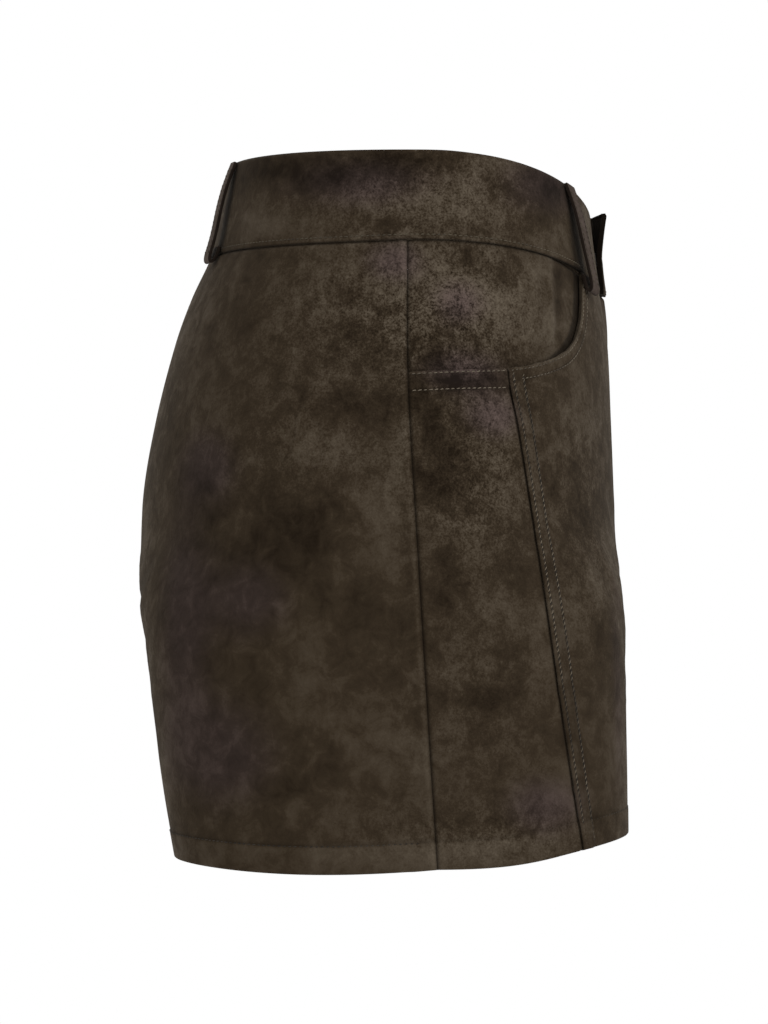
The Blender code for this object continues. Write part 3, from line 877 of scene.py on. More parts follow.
def brushed_suede():
    """The group: colours in, and colour, roughness and height of the nap out."""
    group = bpy.data.node_groups.new("brushed suede", "ShaderNodeTree")
    group_socket(group, "Dark", "NodeSocketColor", (0.0125, 0.0080, 0.0045, 1))
    group_socket(group, "Middle", "NodeSocketColor", (0.0425, 0.0306, 0.0192, 1))
    group_socket(group, "Pale", "NodeSocketColor", (0.1240, 0.1020, 0.0760, 1))
    group_socket(group, "Mauve", "NodeSocketColor", (0.0680, 0.0480, 0.0470, 1))
    group_socket(group, "Speckle", "NodeSocketFloat", 1.0)
    group_socket(group, "Color", "NodeSocketColor", direction="OUTPUT")
    group_socket(group, "Roughness", "NodeSocketFloat", direction="OUTPUT")
    group_socket(group, "Height", "NodeSocketFloat", direction="OUTPUT")
    values = group.nodes.new("NodeGroupInput").outputs
    given = group.nodes.new("NodeGroupOutput").inputs
    place = group.nodes.new("ShaderNodeTexCoord").outputs["Object"]

    cloud = noise(group, place, 24.0, 5.0, 0.62, 0.4)
    mottle = noise(group, place, 95.0, 5.0, 0.66, 0.5)
    flecks = noise(group, place, 330.0, 4.0, 0.7)
    grain = noise(group, place, 1000.0, 2.0, 0.7)

    # from dark to pale: the brushed strokes, a hand-sized cloud, then finer and finer noise
    speckled = fact(group, "grain")
    tone = plus(group, times(group, fact(group, "pale"), 0.46), 0.45)
    tone = plus(group, tone, swing(group, cloud, 0.70))
    uneven = plus(group, times(group, speckled, 0.90), 0.95)
    tone = plus(group, tone, swing(group, mottle, uneven))
    amount = plus(group, times(group, speckled, 0.84), 0.07)
    amount = times(group, amount, values["Speckle"])
    amount = times(group, amount, spread(group, tone, 0.1, 0.8, 0.35, 1.0))
    tone = plus(group, tone, swing(group, flecks, times(group, amount, 2.5)))
    tone = plus(group, tone, swing(group, grain, times(group, amount, 3.0)))

    dark_part = spread(group, tone, 0.0, 0.50, smooth=False)
    pale_part = spread(group, tone, 0.46, 1.60, 0.0, 1.25, smooth=False)
    colour = blended(group, dark_part, values["Dark"], values["Middle"])
    colour = blended(group, pale_part, colour, values["Pale"])

    # a few fine wrinkles of the skin: the edges of cells, bent by a noise
    bent = group.nodes.new("ShaderNodeVectorMath")
    bent.operation = "MULTIPLY_ADD"
    link(group, noise(group, place, 60.0, 4.0, 0.5, output="Color"), bent.inputs[0])
    bent.inputs[1].default_value = (0.022, 0.022, 0.022)
    link(group, place, bent.inputs[2])
    cells = group.nodes.new("ShaderNodeTexVoronoi")
    cells.feature = "DISTANCE_TO_EDGE"
    cells.inputs["Scale"].default_value = 34.0
    link(group, bent.outputs[0], cells.inputs["Vector"])
    wrinkle = spread(group, cells.outputs["Distance"], 0.0, 0.045, 1.0, 0.0)
    sparse = spread(group, noise(group, place, 14.0, 3.0, 0.5, 0.3), 0.52, 0.68)
    wrinkle = times(group, wrinkle, sparse)

    turned = plus(group, fact(group, "mauve"), times(group, cloud, 0.5))
    turned = spread(group, turned, 0.45, 1.3, 0.0, 0.75)
    colour = blended(group, turned, colour, values["Mauve"], "COLOR")

    # painted shade from the mesh (seams, creases, stitch furrows, under the loops and the lap),
    # together with the skin's fine wrinkles, which are a real darker mark, mixes the colour
    # towards the shade colour
    fold = spread(group, fact(group, "fold"), 0.0, FULL_PAINTED_SHADE, 0.0, 1.0, smooth=False)
    darker = worked_out(group, "MAXIMUM", fold, times(group, wrinkle, 0.12))
    colour = blended(group, darker, colour, PAINTED_SHADE_COLOUR)
    link(group, colour, given["Color"])
    link(group, spread(group, tone, 0.2, 0.9, 0.92, 0.74), given["Roughness"])

    height = times(group, grain, 0.55)
    height = plus(group, height, times(group, flecks, 0.6))
    height = plus(group, height, times(group, mottle, 0.9))
    height = worked_out(group, "SUBTRACT", height, times(group, wrinkle, 0.3))
    link(group, height, given["Height"])
    return group


SUEDE_GROUP = brushed_suede()
print("suede group nodes:", len(SUEDE_GROUP.nodes))

# %% The materials made with it


def suede_material(name, speckle, bump_height):
    """A material with the suede group in it; bump_height is in millimetres."""
    made = bpy.data.materials.new(name)
    made.use_nodes = True
    nodes = made.node_tree.nodes
    shader = nodes["Principled BSDF"]
    finish = nodes.new("ShaderNodeGroup")
    finish.node_tree = SUEDE_GROUP
    finish.inputs["Speckle"].default_value = speckle
    raised = nodes.new("ShaderNodeBump")
    raised.inputs["Strength"].default_value = 0.55
    raised.inputs["Distance"].default_value = bump_height * MM
    links = made.node_tree.links
    links.new(finish.outputs["Color"], shader.inputs["Base Color"])
    links.new(finish.outputs["Roughness"], shader.inputs["Roughness"])
    links.new(finish.outputs["Height"], raised.inputs["Height"])
    links.new(raised.outputs["Normal"], shader.inputs["Normal"])
    shader.inputs["Specular IOR Level"].default_value = 0.13
    shader.inputs["Sheen Weight"].default_value = 0.05
    shader.inputs["Sheen Roughness"].default_value = 0.35
    shader.inputs["Sheen Tint"].default_value = (0.88, 0.78, 0.66, 1)
    shader.inputs["Specular Tint"].default_value = (1.0, 0.86, 0.72, 1)
    return made


def plain_material(name, colour, roughness, metallic=0.0):
    """A material of one colour."""
    made = bpy.data.materials.new(name)
    made.use_nodes = True
    shader = made.node_tree.nodes["Principled BSDF"]
    shader.inputs["Base Color"].default_value = (*colour, 1)
    shader.inputs["Roughness"].default_value = roughness
    shader.inputs["Metallic"].default_value = metallic
    return made


PANEL_SUEDE = suede_material("panel suede", 1.0, 0.5)
BAND_SUEDE = suede_material("band suede", 1.0, 0.45)
LOOP_SUEDE = suede_material("loop suede", 0.6, 0.3)
print("materials:", len(bpy.data.materials))

# %% [markdown]
# ## The panels
# Six panels make the body of the shorts. Each is laid with its own relief: the seam edges
# roll inwards, the seam allowances underneath lift the cloth beside them, topstitching pulls
# it down again, and the hem is folded up inside for 14 mm. The fold is laid as part of the
# same sheet, because it is the same cloth.

# %% Relief at seams, pocket mouths and hems
EDGES = {
    # piece: {edge: how deep and how wide it rolls in, how dark and how wide its painted shade is}
    "back": {
        "left": (0.75, 0.9, 0.7, 0.8),
        "right": (0.5, 0.6, 0.6, 0.5),
        "top": (0.9, 1.1, 1.2, 0.9),
    },
    "side_front": {
        "left": (0.9, 1.2, 0.9, 1.0),
        "right": (0.9, 1.1, 0.9, 0.9),
        "top": (0.6, 0.5, 0.0, 1.0),
    },
    "centre_front": {
        "left": (0.55, 0.6, 0.5, 0.5),
        "right": (0.75, 0.9, 0.7, 0.8),
        "top": (0.9, 1.1, 1.2, 0.9),
    },
    "pocket_facing": {
        "left": (0.9, 1.2, 0.9, 1.0),
        "top": (0.9, 1.1, 1.2, 0.9),
    },
    "waistband": {
        "top": (0.9, 0.9, 0.0, 1.0),
        "bottom": (0.7, 0.8, 1.1, 0.45),
        "ends": (0.6, 0.8, 0.0, 1.0),
        "right": (0.0, 1.0, 1.3, 0.7),
    },
}
STITCH_DIP = 0.30
ROW_WIDTH = 0.8
SEAM_LIFT = 0.75
MOUTH_LIFT = 0.55
# rows of stitches, by their distance from the edge
ROWS_AT = (2.2, 8.2)
MOUTH_ROWS_AT = (1.2, 9.4)
FRONT_MOUTH_ROWS_AT = (1.2, 5.8)
BAND_ROW_AT = 2.3
HEM_ROW_AT = 13.0
# the doubled hem lifts the cloth, its row dips into it, and it draws the edge up
HEM_LIFT = 0.35
HEM_DIP = 0.45
HEM_DRAWN_UP = 1.1
HEM_FRONT_UP = 1.0
HEM_WORN = 0.30
HEM_SLACK = 0.08


def seamed(e, piece):
    """Relief along a sheet's edges, and painted shade where they roll into the seams, from the
    table of edges.
    """
    rows = [(e[edge], *row) for edge, row in EDGES[piece].items()]
    height = sum(-deep * bump(away, 0.0, wide) for away, deep, wide, dark, width in rows)
    fold = sum(dark * bump(away, 0.0, width) for away, deep, wide, dark, width in rows)
    return height, fold


def topstitched(distance, rows, lift, ease=1.6):
    """A seam allowance lifts the cloth up to the last row; each row pulls it down."""
    height = lift * smooth_step((rows[-1] + ease - distance) / (2 * ease))
    for row in rows:
        height = height - STITCH_DIP * bump(distance, row, ROW_WIDTH)
    return height


def hem_relief(from_bottom):
    """The turned-up hem lifts the cloth, and its row of stitches pulls it down."""
    lift = HEM_LIFT * smooth_step((HEM_DEPTH + 1.2 - from_bottom) / 2.4)
    return lift - HEM_DIP * bump(from_bottom, HEM_ROW_AT, 0.9)


def turned_hem(outer, out):
    """Rows that carry the sheet round the hem's fold and up inside."""
    radius = SUEDE + HEM_SLACK
    ahead = outer[-1] - outer[-2]
    ahead = ahead / np.linalg.norm(ahead, axis=-1, keepdims=True)
    across = out[-1] * radius
    centre = outer[-1] - across
    rows = []
    for turn in np.linspace(0.0, math.pi, 9)[1:]:
        rows.append(centre + across * math.cos(turn) + ahead * radius * math.sin(turn) * 0.75)
    last = rows[-1]
    for up in np.linspace(0.0, HEM_DEPTH - 1.5, 8)[1:]:
        rows.append(last - ahead * up)
    return np.stack(rows)


def hem_drawn_up(points, from_bottom):
    """How far stitching draws the cloth up, most at the hem's edge towards the front."""
    y = points[..., 1]
    front = smooth_step((SIDE_Y - y) / 16) * smooth_step((y + 96.0) / 30)
    return (HEM_DRAWN_UP + HEM_FRONT_UP * front) * np.maximum(1 - from_bottom / 60.0, 0.0)


def hem_worn(points, from_bottom):
    """The doubled strip is rubbed paler, except at the very front."""
    strip = smooth_step((HEM_ROW_AT - from_bottom) / 2.5)
    return HEM_WORN * strip * smooth_step((points[..., 1] + 80.0) / 20)


def side_front_top(shares):
    """Places on the top edge of the side front: share 0 at the side seam."""
    down = mixed(MOUTH_AT_SIDE, MOUTH_AT_PRINCESS, shares)
    return mixed(side_seam(down), princess_seam(down), shares), down


MOUTH_LINE = np.concatenate([
    form_points(*mouth_places(np.linspace(0.0, 1.0, 120))),
    form_points(*side_front_top(np.linspace(1.0, 0.0, 60))),
])


def from_line(points, line):
    """The distance of each point from a line of points."""
    away = np.linalg.norm(points[..., None, :] - line, axis=-1)
    return away.min(axis=-1)


def with_facts(points, fold, side, worn_and_painted_light=0.0):
    """What the material reads. The last argument adds to how pale the nap is: real wear on the
    hem, a painted highlight on raised edges and fold ridges, and painted shade in fold troughs,
    where it is below 0.

    The side's strokes fade out where the cloth turns to the front or the back.
    """
    square = np.cross(np.gradient(points, axis=1), np.gradient(points, axis=0))
    square = square / np.maximum(np.linalg.norm(square, axis=-1, keepdims=True), 1e-9)
    to_side = smooth_step((np.abs(square[..., 0]) - 0.10) / 0.30)
    x = np.abs(points[..., 0]) * side
    at_front = brushed(x, points[..., 2], FRONT_PATCHES)
    at_back = brushed(x, points[..., 2], BACK_PATCHES)
    elsewhere = np.where(points[..., 1] < SIDE_Y, at_front, at_back)
    return {
        "pale": mixed(elsewhere, strokes(points, side, PATCHES), to_side) + worn_and_painted_light,
        "mauve": mixed(0.15, strokes(points, side, MAUVE), to_side),
        "grain": mixed(0.45, strokes(points, side, GRAIN), to_side),
        "fold": fold,
    }


AT_MIDDLE = 0.004


def lay_panel(name, around, down, height, fold, side, worn_and_painted_light=0.0):
    """A body panel with its relief, its hem and its wall, standing in for its solid."""
    points = form_points(around, down)
    out = outward(form_points, around, down)
    creased = creases(around, down, side)
    # painted shade in the troughs of the creases
    fold = np.clip(fold + np.clip(-creased - 0.15, 0.0, 0.5) * 0.5, 0.0, 1.0)
    outer = points + out * (height + creased)[..., None]
    from_bottom = edges_of(points)["bottom"]
    outer[..., 2] += hem_drawn_up(points, from_bottom)
    outer[..., 0] = np.maximum(outer[..., 0], CLOTH_GAP / 2)
    # above the crotch the two halves touch in the middle, so that no light comes through
    above_crotch = down <= CROTCH
    for column in (0, -1):
        at_middle = np.minimum(around, 1 - around)[:, column] < AT_MIDDLE
        outer[at_middle & above_crotch[:, column], column, 0] = 0.0
    hem = turned_hem(outer, out)
    hem[..., 0] = np.maximum(hem[..., 0], SEAM_GAP / 2)
    whole = np.concatenate([outer, hem])
    facts = with_facts(outer, fold, side, worn_and_painted_light + hem_worn(points, from_bottom))
    for key in facts:
        facts[key] = np.concatenate([facts[key], np.repeat(facts[key][-1:], len(hem), axis=0)])
    piece = lay_sheet(name, whole, facts, side)
    give_wall(piece, SUEDE, PANEL_SUEDE)
    print(name, "area", round(cloth_area(whole), 4), "m2,", len(piece.data.polygons), "faces")
    return piece, cloth_area(whole)


def inset_places(around, down, left, right, top):
    """The places with the sheet's edges drawn in by half a seam gap."""
    points = form_points(around, down)
    across = lengths_along(points, 1)
    total = across[:, -1:]
    gap = CLOTH_GAP / 2
    start = left * gap
    span = total - start - right * gap
    wanted = start + across / total * span
    spacing = np.maximum(np.gradient(across, axis=1), 1e-6)
    around = around + (wanted - across) * np.gradient(around, axis=1) / spacing
    length = lengths_along(points, 0)[-1:]
    down = down + top * gap / length * (1 - down) * (down < 0.5)
    return around, down


print("lift beside a princess seam:", round(float(topstitched(5.0, ROWS_AT, SEAM_LIFT)), 2), "mm")

# %% Back panels
BACK_COLUMNS = 110
PANEL_ROWS = 132


def panel_rows(count=PANEL_ROWS):
    """Shares of the way down for a panel's rows."""
    return graded(count, 0.75)


def back_panel(side, word):
    """From the centre back seam and the inner leg to the side seam."""
    down = panel_rows()[:, None] * np.ones((1, BACK_COLUMNS + 1))
    edge = side_seam(panel_rows())[:, None]
    around = graded(BACK_COLUMNS)[None, :] * edge
    around, down = inset_places(around, down, 1, 1, 1)
    e = edges_of(form_points(around, down))
    height, fold = seamed(e, "back")
    height = height + 0.55 * bump(e["right"], 2.2, 2.6) + hem_relief(e["bottom"])
    # painted shade in the furrow of the hem's row of stitches
    fold = fold + 0.75 * bump(e["bottom"], HEM_ROW_AT, 0.6)
    # painted highlight: the back's raised edge beside the side seam is made paler
    worn_and_painted_light = 0.36 * bump(e["right"], 1.8, 1.1)
    return lay_panel(f"suede_back_{word}", around, down, height, fold, side, worn_and_painted_light)


# %% Side front panels
SIDE_COLUMNS = 44
LOWER_ROWS = 112


def side_front_panel(side, word):
    """From the side seam to the princess seam, below the pocket mouth."""
    shares = graded(SIDE_COLUMNS)[None, :]
    starts = mixed(MOUTH_AT_SIDE, MOUTH_AT_PRINCESS, shares)
    down = mixed(starts, 1.0, panel_rows(LOWER_ROWS)[:, None])
    seam = princess_seam(down[:, -1])[:, None]
    around = mixed(side_seam(down[:, 0])[:, None], seam, shares)
    around, down = inset_places(around, down, 1, 1, 0)
    e = edges_of(form_points(around, down))
    height, fold = seamed(e, "side_front")
    height = height + topstitched(e["top"], MOUTH_ROWS_AT, MOUTH_LIFT) + hem_relief(e["bottom"])
    # painted shade in the furrows of the pocket's outer row and the hem's row
    fold = fold + 0.25 * bump(e["top"], MOUTH_ROWS_AT[1], ROW_WIDTH)
    fold = fold + 0.35 * bump(e["bottom"], HEM_ROW_AT, 0.7)
    # painted highlight on the side front's rolled top edge, and painted shade in a band below it
    worn_and_painted_light = 0.45 * bump(e["top"], 0.3, 0.8) - 0.25 * bump(e["top"], 5.0, 2.2)
    return lay_panel(f"suede_side_front_{word}", around, down, height, fold, side, worn_and_painted_light)


# %% Centre front panels
CENTRE_COLUMNS = 100
MOUTH_STEPS = 56
FLY_LIFT = 2.4
FLY_LIFT_DEPTH = 0.13
FLY_LIFT_FROM = 16.0
FLY_LIFT_TO = 3.0


def centre_front_panel(side, word):
    """From the pocket mouth and the princess seam to the centre front."""
    shares = graded(MOUTH_STEPS, 0.5)[:-1]
    start_round, start_down = mouth_places(shares)
    parts = graded(CENTRE_COLUMNS)[None, :]
    upper_round = mixed(start_round[:, None], 1.0, parts)
    upper_down = mixed(start_down[:, None], MOUTH_AT_PRINCESS * shares[:, None], parts)
    downs = mixed(MOUTH_AT_PRINCESS, 1.0, graded(LOWER_ROWS, 0.6))
    lower_round = mixed(princess_seam(downs)[:, None], 1.0, parts)
    lower_down = downs[:, None] * np.ones_like(parts)
    around = np.concatenate([upper_round, lower_round])
    down = np.concatenate([upper_down, lower_down])
    around, down = inset_places(around, down, 1, 1, 1)
    e = edges_of(form_points(around, down))
    from_mouth = from_line(form_points(around, down), MOUTH_LINE)
    below = smooth_step((np.arange(down.shape[0])[:, None] - MOUTH_STEPS + 1) / 3)
    height, fold = seamed(e, "centre_front")
    mouth = topstitched(from_mouth, FRONT_MOUTH_ROWS_AT, MOUTH_LIFT)
    seam = topstitched(e["left"], ROWS_AT, SEAM_LIFT) * below
    under_lap = smooth_step((FLY_LIFT_DEPTH - down) / FLY_LIFT_DEPTH)
    from_middle = FLY_LIFT_FROM - e["right"]
    under_lap = under_lap * smooth_step(from_middle / (FLY_LIFT_FROM - FLY_LIFT_TO))
    height = height + np.maximum(mouth, seam) + hem_relief(e["bottom"]) + FLY_LIFT * under_lap
    # painted shade: in the furrows of the mouth row and the hem row, a near-black line along the
    # fly's lifted edge, and a darker strip between the princess rows
    fold = fold + 0.15 * bump(from_mouth, FRONT_MOUTH_ROWS_AT[1], ROW_WIDTH)
    fold = fold + 0.9 * under_lap * smooth_step((3.2 - e["right"]) / 1.5)
    fold = fold + 0.35 * bump(e["bottom"], HEM_ROW_AT, 0.7)
    between_rows = bump(e["left"], 5.2, 2.6) * below
    fold = fold + 0.22 * between_rows * smooth_step((down - 0.42) / 0.12)
    # painted highlight on the rolled mouth edge, and on the raised strip between the princess
    # rows
    worn_and_painted_light = 0.7 * bump(from_mouth, 0.4, 1.2) * (1 - below)
    worn_and_painted_light = worn_and_painted_light + 0.2 * bump(e["left"], 4.1, 1.6) * below
    return lay_panel(f"suede_centre_front_{word}", around, down, height, fold, side, worn_and_painted_light)


# %% Laying the six panels
PANELS = {}
for side, word in ((-1, "right"), (1, "left")):
    for solid, lay in (
        ("back", back_panel),
        ("side_front", side_front_panel),
        ("centre_front", centre_front_panel),
    ):
        piece, area = lay(side, word)
        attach(piece, "root")
        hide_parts(f"{solid}_{word}")
        PANELS[f"{solid}_{word}"] = (piece, area)

# %% [markdown]
# ## The pocket facings
# Inside each pocket mouth one sees the facing, a piece of the same suede that continues the
# hip. It lies a little deeper than the front panels, which throw a thin shadow on it that is also
# painted into its colour, and rises again to meet the side seam. Soft upright folds run down it
# near the front.

# %% Laying a facing
FACING_COLUMNS = 90
FACING_ROWS = 56
FACING_FOLDS = [
    # y, lean of y over each mm down, width, height, z where it starts, z where it ends
    (-64.0, -0.05, 1.7, 0.75, -26.0, -76.0),
    (-68.0, -0.05, 2.6, -0.65, -26.0, -76.0),
    (-56.0, -0.03, 1.6, 0.35, -28.0, -60.0),
    (-30.0, 0.60, 3.5, -0.30, -38.0, -58.0),
]


def facing_folds(points):
    """Height of the facing's soft upright folds."""
    y = points[..., 1]
    z = points[..., 2]
    height = np.zeros(y.shape)
    for at, lean, width, rise, high, low in FACING_FOLDS:
        ends = smooth_step((high - z) / 8) * smooth_step((z - low) / 12)
        height += rise * ends * bump(y, at + lean * (high - z), width)
    return height


def inside_mouth(points):
    """How far inside the mouth a point lies in side view, less than 0 outside it."""
    corners = np.array(POCKET_MOUTH + [(MOUTH_SIDE_Y, POCKET_SIDE_Z)], dtype=float)
    here = points[..., None, 1:]
    run = corners[1:] - corners[:-1]
    along = ((here - corners[:-1]) * run).sum(axis=-1) / (run * run).sum(axis=-1)
    away = here - (corners[:-1] + run * np.clip(along, 0.0, 1.0)[..., None])
    distance = np.linalg.norm(away, axis=-1)
    nearest = distance.argmin(axis=-1)
    turn = run[:, 0] * away[..., 1] - run[:, 1] * away[..., 0]
    inside = np.take_along_axis(turn, nearest[..., None], axis=-1)[..., 0] > 0
    shortest = np.take_along_axis(distance, nearest[..., None], axis=-1)[..., 0]
    return np.where(inside, shortest, -shortest)


def pocket_facing(side, word):
    """The piece that shows in the pocket mouth, sunk behind the front's edge."""
    rows = np.linspace(0.0, MOUTH_AT_SIDE + FACING_BELOW / DROP, FACING_ROWS + 1)
    shares = graded(FACING_COLUMNS, 0.5)[None, :]
    around = mixed(side_seam(rows)[:, None], round_at(rows, FACING_Y)[:, None], shares)
    down = rows[:, None] * np.ones_like(shares)
    around, down = inset_places(around, down, 1, 0, 1)
    points = form_points(around, down)
    out = outward(form_points, around, down)
    e = edges_of(points)
    inside = inside_mouth(points)
    folds = facing_folds(points)
    ease = smooth_step((inside - MOUTH_OVERHANG) / POCKET_EASE)
    height, fold = seamed(e, "pocket_facing")
    height = height - POCKET_SINK * (1 - ease) + folds * ease
    # painted shadow of the front's edge on the facing, wider towards the front
    front_share = smooth_step((-60.0 - points[..., 1]) / 14)
    reach = mixed(0.2, 1.9, front_share)
    shadow = mixed(0.45, 1.3, front_share) * smooth_step((reach + 0.8 - inside) / 1.6)
    fold = np.clip(fold + shadow, 0.0, 1.0)
    outer = points + out * height[..., None]
    # painted light on the facing's folds: paler on their ridges, darker in their troughs
    facts = with_facts(outer, fold, side, folds * 0.8)
    piece = lay_sheet(f"suede_pocket_facing_{word}", outer, facts, side)
    give_wall(piece, SUEDE, PANEL_SUEDE)
    print(piece.name, "area", round(cloth_area(outer), 4), "m2")
    return piece, cloth_area(outer)


for side, word in ((-1, "right"), (1, "left")):
    piece, area = pocket_facing(side, word)
    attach(piece, "root")
    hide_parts(f"pocket_facing_{word}")
    PANELS[f"pocket_facing_{word}"] = (piece, area)

# %% [markdown]
# ## The waistband
# The band is one strip, folded double, so both its long edges are soft and round. It runs
# from its lower end, which is hidden at the centre front, round the right side, the back and
# the left side to its upper end, which laps over. The free corner of the lap bends forward
# and shows its inner face, which lies in shade; that shade is painted dark on the face.

# %% Laying the band
BAND_ROWS = 30
TAIL_COLUMNS = 10
HALF_COLUMNS = 170
TIP_COLUMNS = 24
LEFT_FROM = TAIL_COLUMNS + HALF_COLUMNS + 1
TIP_FROM = LEFT_FROM + HALF_COLUMNS
BAND_WAVE = 0.25
BAND_WAVE_LENGTH = 41.0
LOOP_SHADE = 0.85
LOOP_SHADE_REACH = 5.0


def band_columns():
    """Round numbers, sides and rises of the band's columns, from its lower to its upper end.

    The last array is a share of the way from the middle to the lap's free end.
    """
    under = float(round_from_middle(band_points, UNDERLAP, 0.5))
    over = float(round_from_middle(band_points, OVERLAP, 0.5))
    half = np.linspace(0.0, 1.0, HALF_COLUMNS + 1)
    tail = under + (1 - under) * graded(TAIL_COLUMNS, 0.6)
    tip = 1.0 - (1.0 - over) * graded(TIP_COLUMNS, 0.6)
    around = np.concatenate([tail[:-1], half[::-1], half[1:], tip[1:]])
    number = np.arange(len(around))
    on_right = (number >= TAIL_COLUMNS) & (number < LEFT_FROM)
    beyond = number >= TIP_FROM
    hand = np.where(on_right | beyond, -1.0, 1.0)
    from_middle = band_points(around, 0.5)[:, 0]
    full = LAP_SPACE + BAND_WALL
    rise = full * smooth_step((LAP_RISE_FROM - from_middle) / (LAP_RISE_FROM - LAP_RISE_TO))
    rise = np.where((number >= LEFT_FROM) & (around > 0.5), rise, 0.0)
    rise = np.where(beyond, full, rise)
    tip_share = np.where(beyond, from_middle / OVERLAP, 0.0)
    return around, hand, rise, tip_share


def under_loops(around, hand):
    """Painted shade on the band in the narrow space under its belt loops."""
    dark = np.zeros(around.shape)
    for _, top_round, low_round, side in BELT_LOOPS:
        away = band_points(around, 0.5) - band_points((top_round + low_round) / 2, 0.5)
        away = np.linalg.norm(away, axis=-1)
        near = smooth_step((LOOP_WIDTH / 2 + LOOP_SHADE_REACH - away) / LOOP_SHADE_REACH)
        dark = dark + LOOP_SHADE * (hand == side) * near
    return dark


def darken_inside(piece, values):
    """Raise the painted shade on the inner layer of a wall, which the modifier added last."""
    rows, columns = values.shape
    layer = piece.data.attributes["fold"].data
    fold = np.empty(len(layer), dtype=np.float32)
    layer.foreach_get("value", fold)
    number = np.arange(rows * columns)
    # a grid primitive counts its points along x, from its lowest row (the sheet's last) up
    inner = values[rows - 1 - number // columns, number % columns]
    added = slice(rows * columns, 2 * rows * columns)
    fold[added] = np.maximum(fold[added], inner)
    layer.foreach_set("value", fold)


def waistband():
    """The whole band in one sheet, with its lap."""
    around, hand, rise, tip_share = band_columns()
    share = graded(BAND_ROWS, 0.8)[:, None]
    points = band_points(around[None, :], share) * handed(hand)
    out = outward(band_points, around[None, :], share) * handed(hand)
    e = edges_of(points)
    e["ends"] = np.minimum(e["left"], e["right"])
    curl = np.maximum(1 - share / CORNER_HEIGHT, 0.0)
    tuck = np.maximum(share - TUCK_FROM, 0.0) / (1 - TUCK_FROM)
    height, fold = seamed(e, "waistband")
    height = height + BAND_PROUD + rise
    height = height + CORNER_CURL * tip_share ** 2 * curl - CORNER_TUCK * tip_share * tuck
    height = height - STITCH_DIP * bump(e["bottom"], BAND_ROW_AT, ROW_WIDTH)
    height = height + BAND_WAVE * np.sin(e["left"] / BAND_WAVE_LENGTH) * np.sin(share * math.pi)
    # painted shade in the furrow of the band's row and under the belt loops
    fold = fold + 0.12 * bump(e["bottom"], BAND_ROW_AT, 0.6) + under_loops(around, hand)
    fold = np.clip(fold, 0.0, FULL_PAINTED_SHADE)
    outer = points + out * height[..., None]
    piece = lay_sheet("suede_waistband", outer, with_facts(outer, fold, hand), 1)
    give_wall(piece, BAND_WALL, BAND_SUEDE)
    # painted shade on the inner face of the lap's free end, which bends forward into shade
    under_lap = smooth_step(tip_share * 4.0) * FULL_PAINTED_SHADE
    darken_inside(piece, np.broadcast_to(under_lap, fold.shape))
    print(piece.name, "area", round(cloth_area(outer), 4), "m2")
    return piece


band = waistband()
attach(band, "root")
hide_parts("waistband")

# %% [markdown]
# ## The belt loops
# A loop is a narrow strip, folded so that its edges are round. Its top is caught in the
# band's upper edge, it bows out over the band, and its lower end is turned under and sewn.
# It is laid from a profile, seen from its side, and given its wall about the middle.

# %% Laying a loop
LOOP_STEPS = 64
LOOP_COLUMNS = 10
TURNED_UNDER = 0.68       # share of the profile after which the strip runs back underneath


def loop_places(top_round, low_round):
    """A fine profile of places along a loop: round, down from the waist edge, and rise."""
    numbers = np.arange(len(LOOP_PROFILE), dtype=float)
    fine = np.linspace(0.0, numbers[-1], LOOP_STEPS + 1)
    distance = curve(list(zip(numbers, [row[0] for row in LOOP_PROFILE])))(fine)
    rise = curve(list(zip(numbers, [row[1] for row in LOOP_PROFILE])))(fine)
    longest = max(down for down, _ in LOOP_PROFILE)
    around = mixed(top_round, low_round, distance / longest)
    return around, distance, rise


def loop_points(around, distance, rise, aside):
    """Points of a loop; aside is the distance from its middle line, in millimetres."""
    ends = band_points(around, np.array([0.0, 1.0])[:, None])
    height = np.linalg.norm(ends[1] - ends[0], axis=-1)
    step = 0.01
    stride = band_points(around + step, 0.5) - band_points(around, 0.5)
    place = around + aside * step / np.linalg.norm(stride, axis=-1)
    share = distance / height
    down = np.maximum(distance - height, 0.0) / DROP
    on_band = (share <= 1)[..., None]
    share = np.minimum(share, 1.0)
    point = np.where(on_band, band_points(place, share), form_points(place, down))
    off_band = outward(form_points, place, down)
    out = np.where(on_band, outward(band_points, place, share), off_band)
    return point + out * rise[..., None], out


def belt_loop(name, top_round, low_round, side):
    """One loop: a narrow sheet along the profile, walled about its middle."""
    around, distance, rise = loop_places(top_round, low_round)
    asides = (graded(LOOP_COLUMNS, 0.5) - 0.5) * LOOP_WIDTH
    laid = [loop_points(around, distance, rise, aside)[0] for aside in asides]
    points = np.stack(laid, axis=1)
    e = edges_of(points)
    edge = np.minimum(e["left"], e["right"])
    # painted shade at the loop's edges, where it shades the band, and on the part turned under
    fold = 0.25 * bump(edge, 1.6, 0.5) + 1.1 * bump(edge, 0.0, 0.35)
    inside = smooth_step((np.arange(LOOP_STEPS + 1)[:, None] - LOOP_STEPS * TURNED_UNDER) / 5.0)
    facts = {
        "pale": 0.50 + strokes(points, side, PATCHES) * 0.2,
        "mauve": np.full(fold.shape, 0.8),
        "grain": np.full(fold.shape, 0.1),
        "fold": np.clip(fold + 0.6 * inside, 0.0, 1.0),
    }
    piece = lay_sheet(f"suede_{name}", points, facts, side)
    give_wall(piece, LOOP_WALL, LOOP_SUEDE, offset=0.0, soft=0.4, sharp=60)
    print(piece.name, "area", round(cloth_area(points), 5), "m2")
    return piece


for name, top_round, low_round, side in BELT_LOOPS:
    piece = belt_loop(name, top_round, low_round, side)
    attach(piece, "root")
    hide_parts(name)

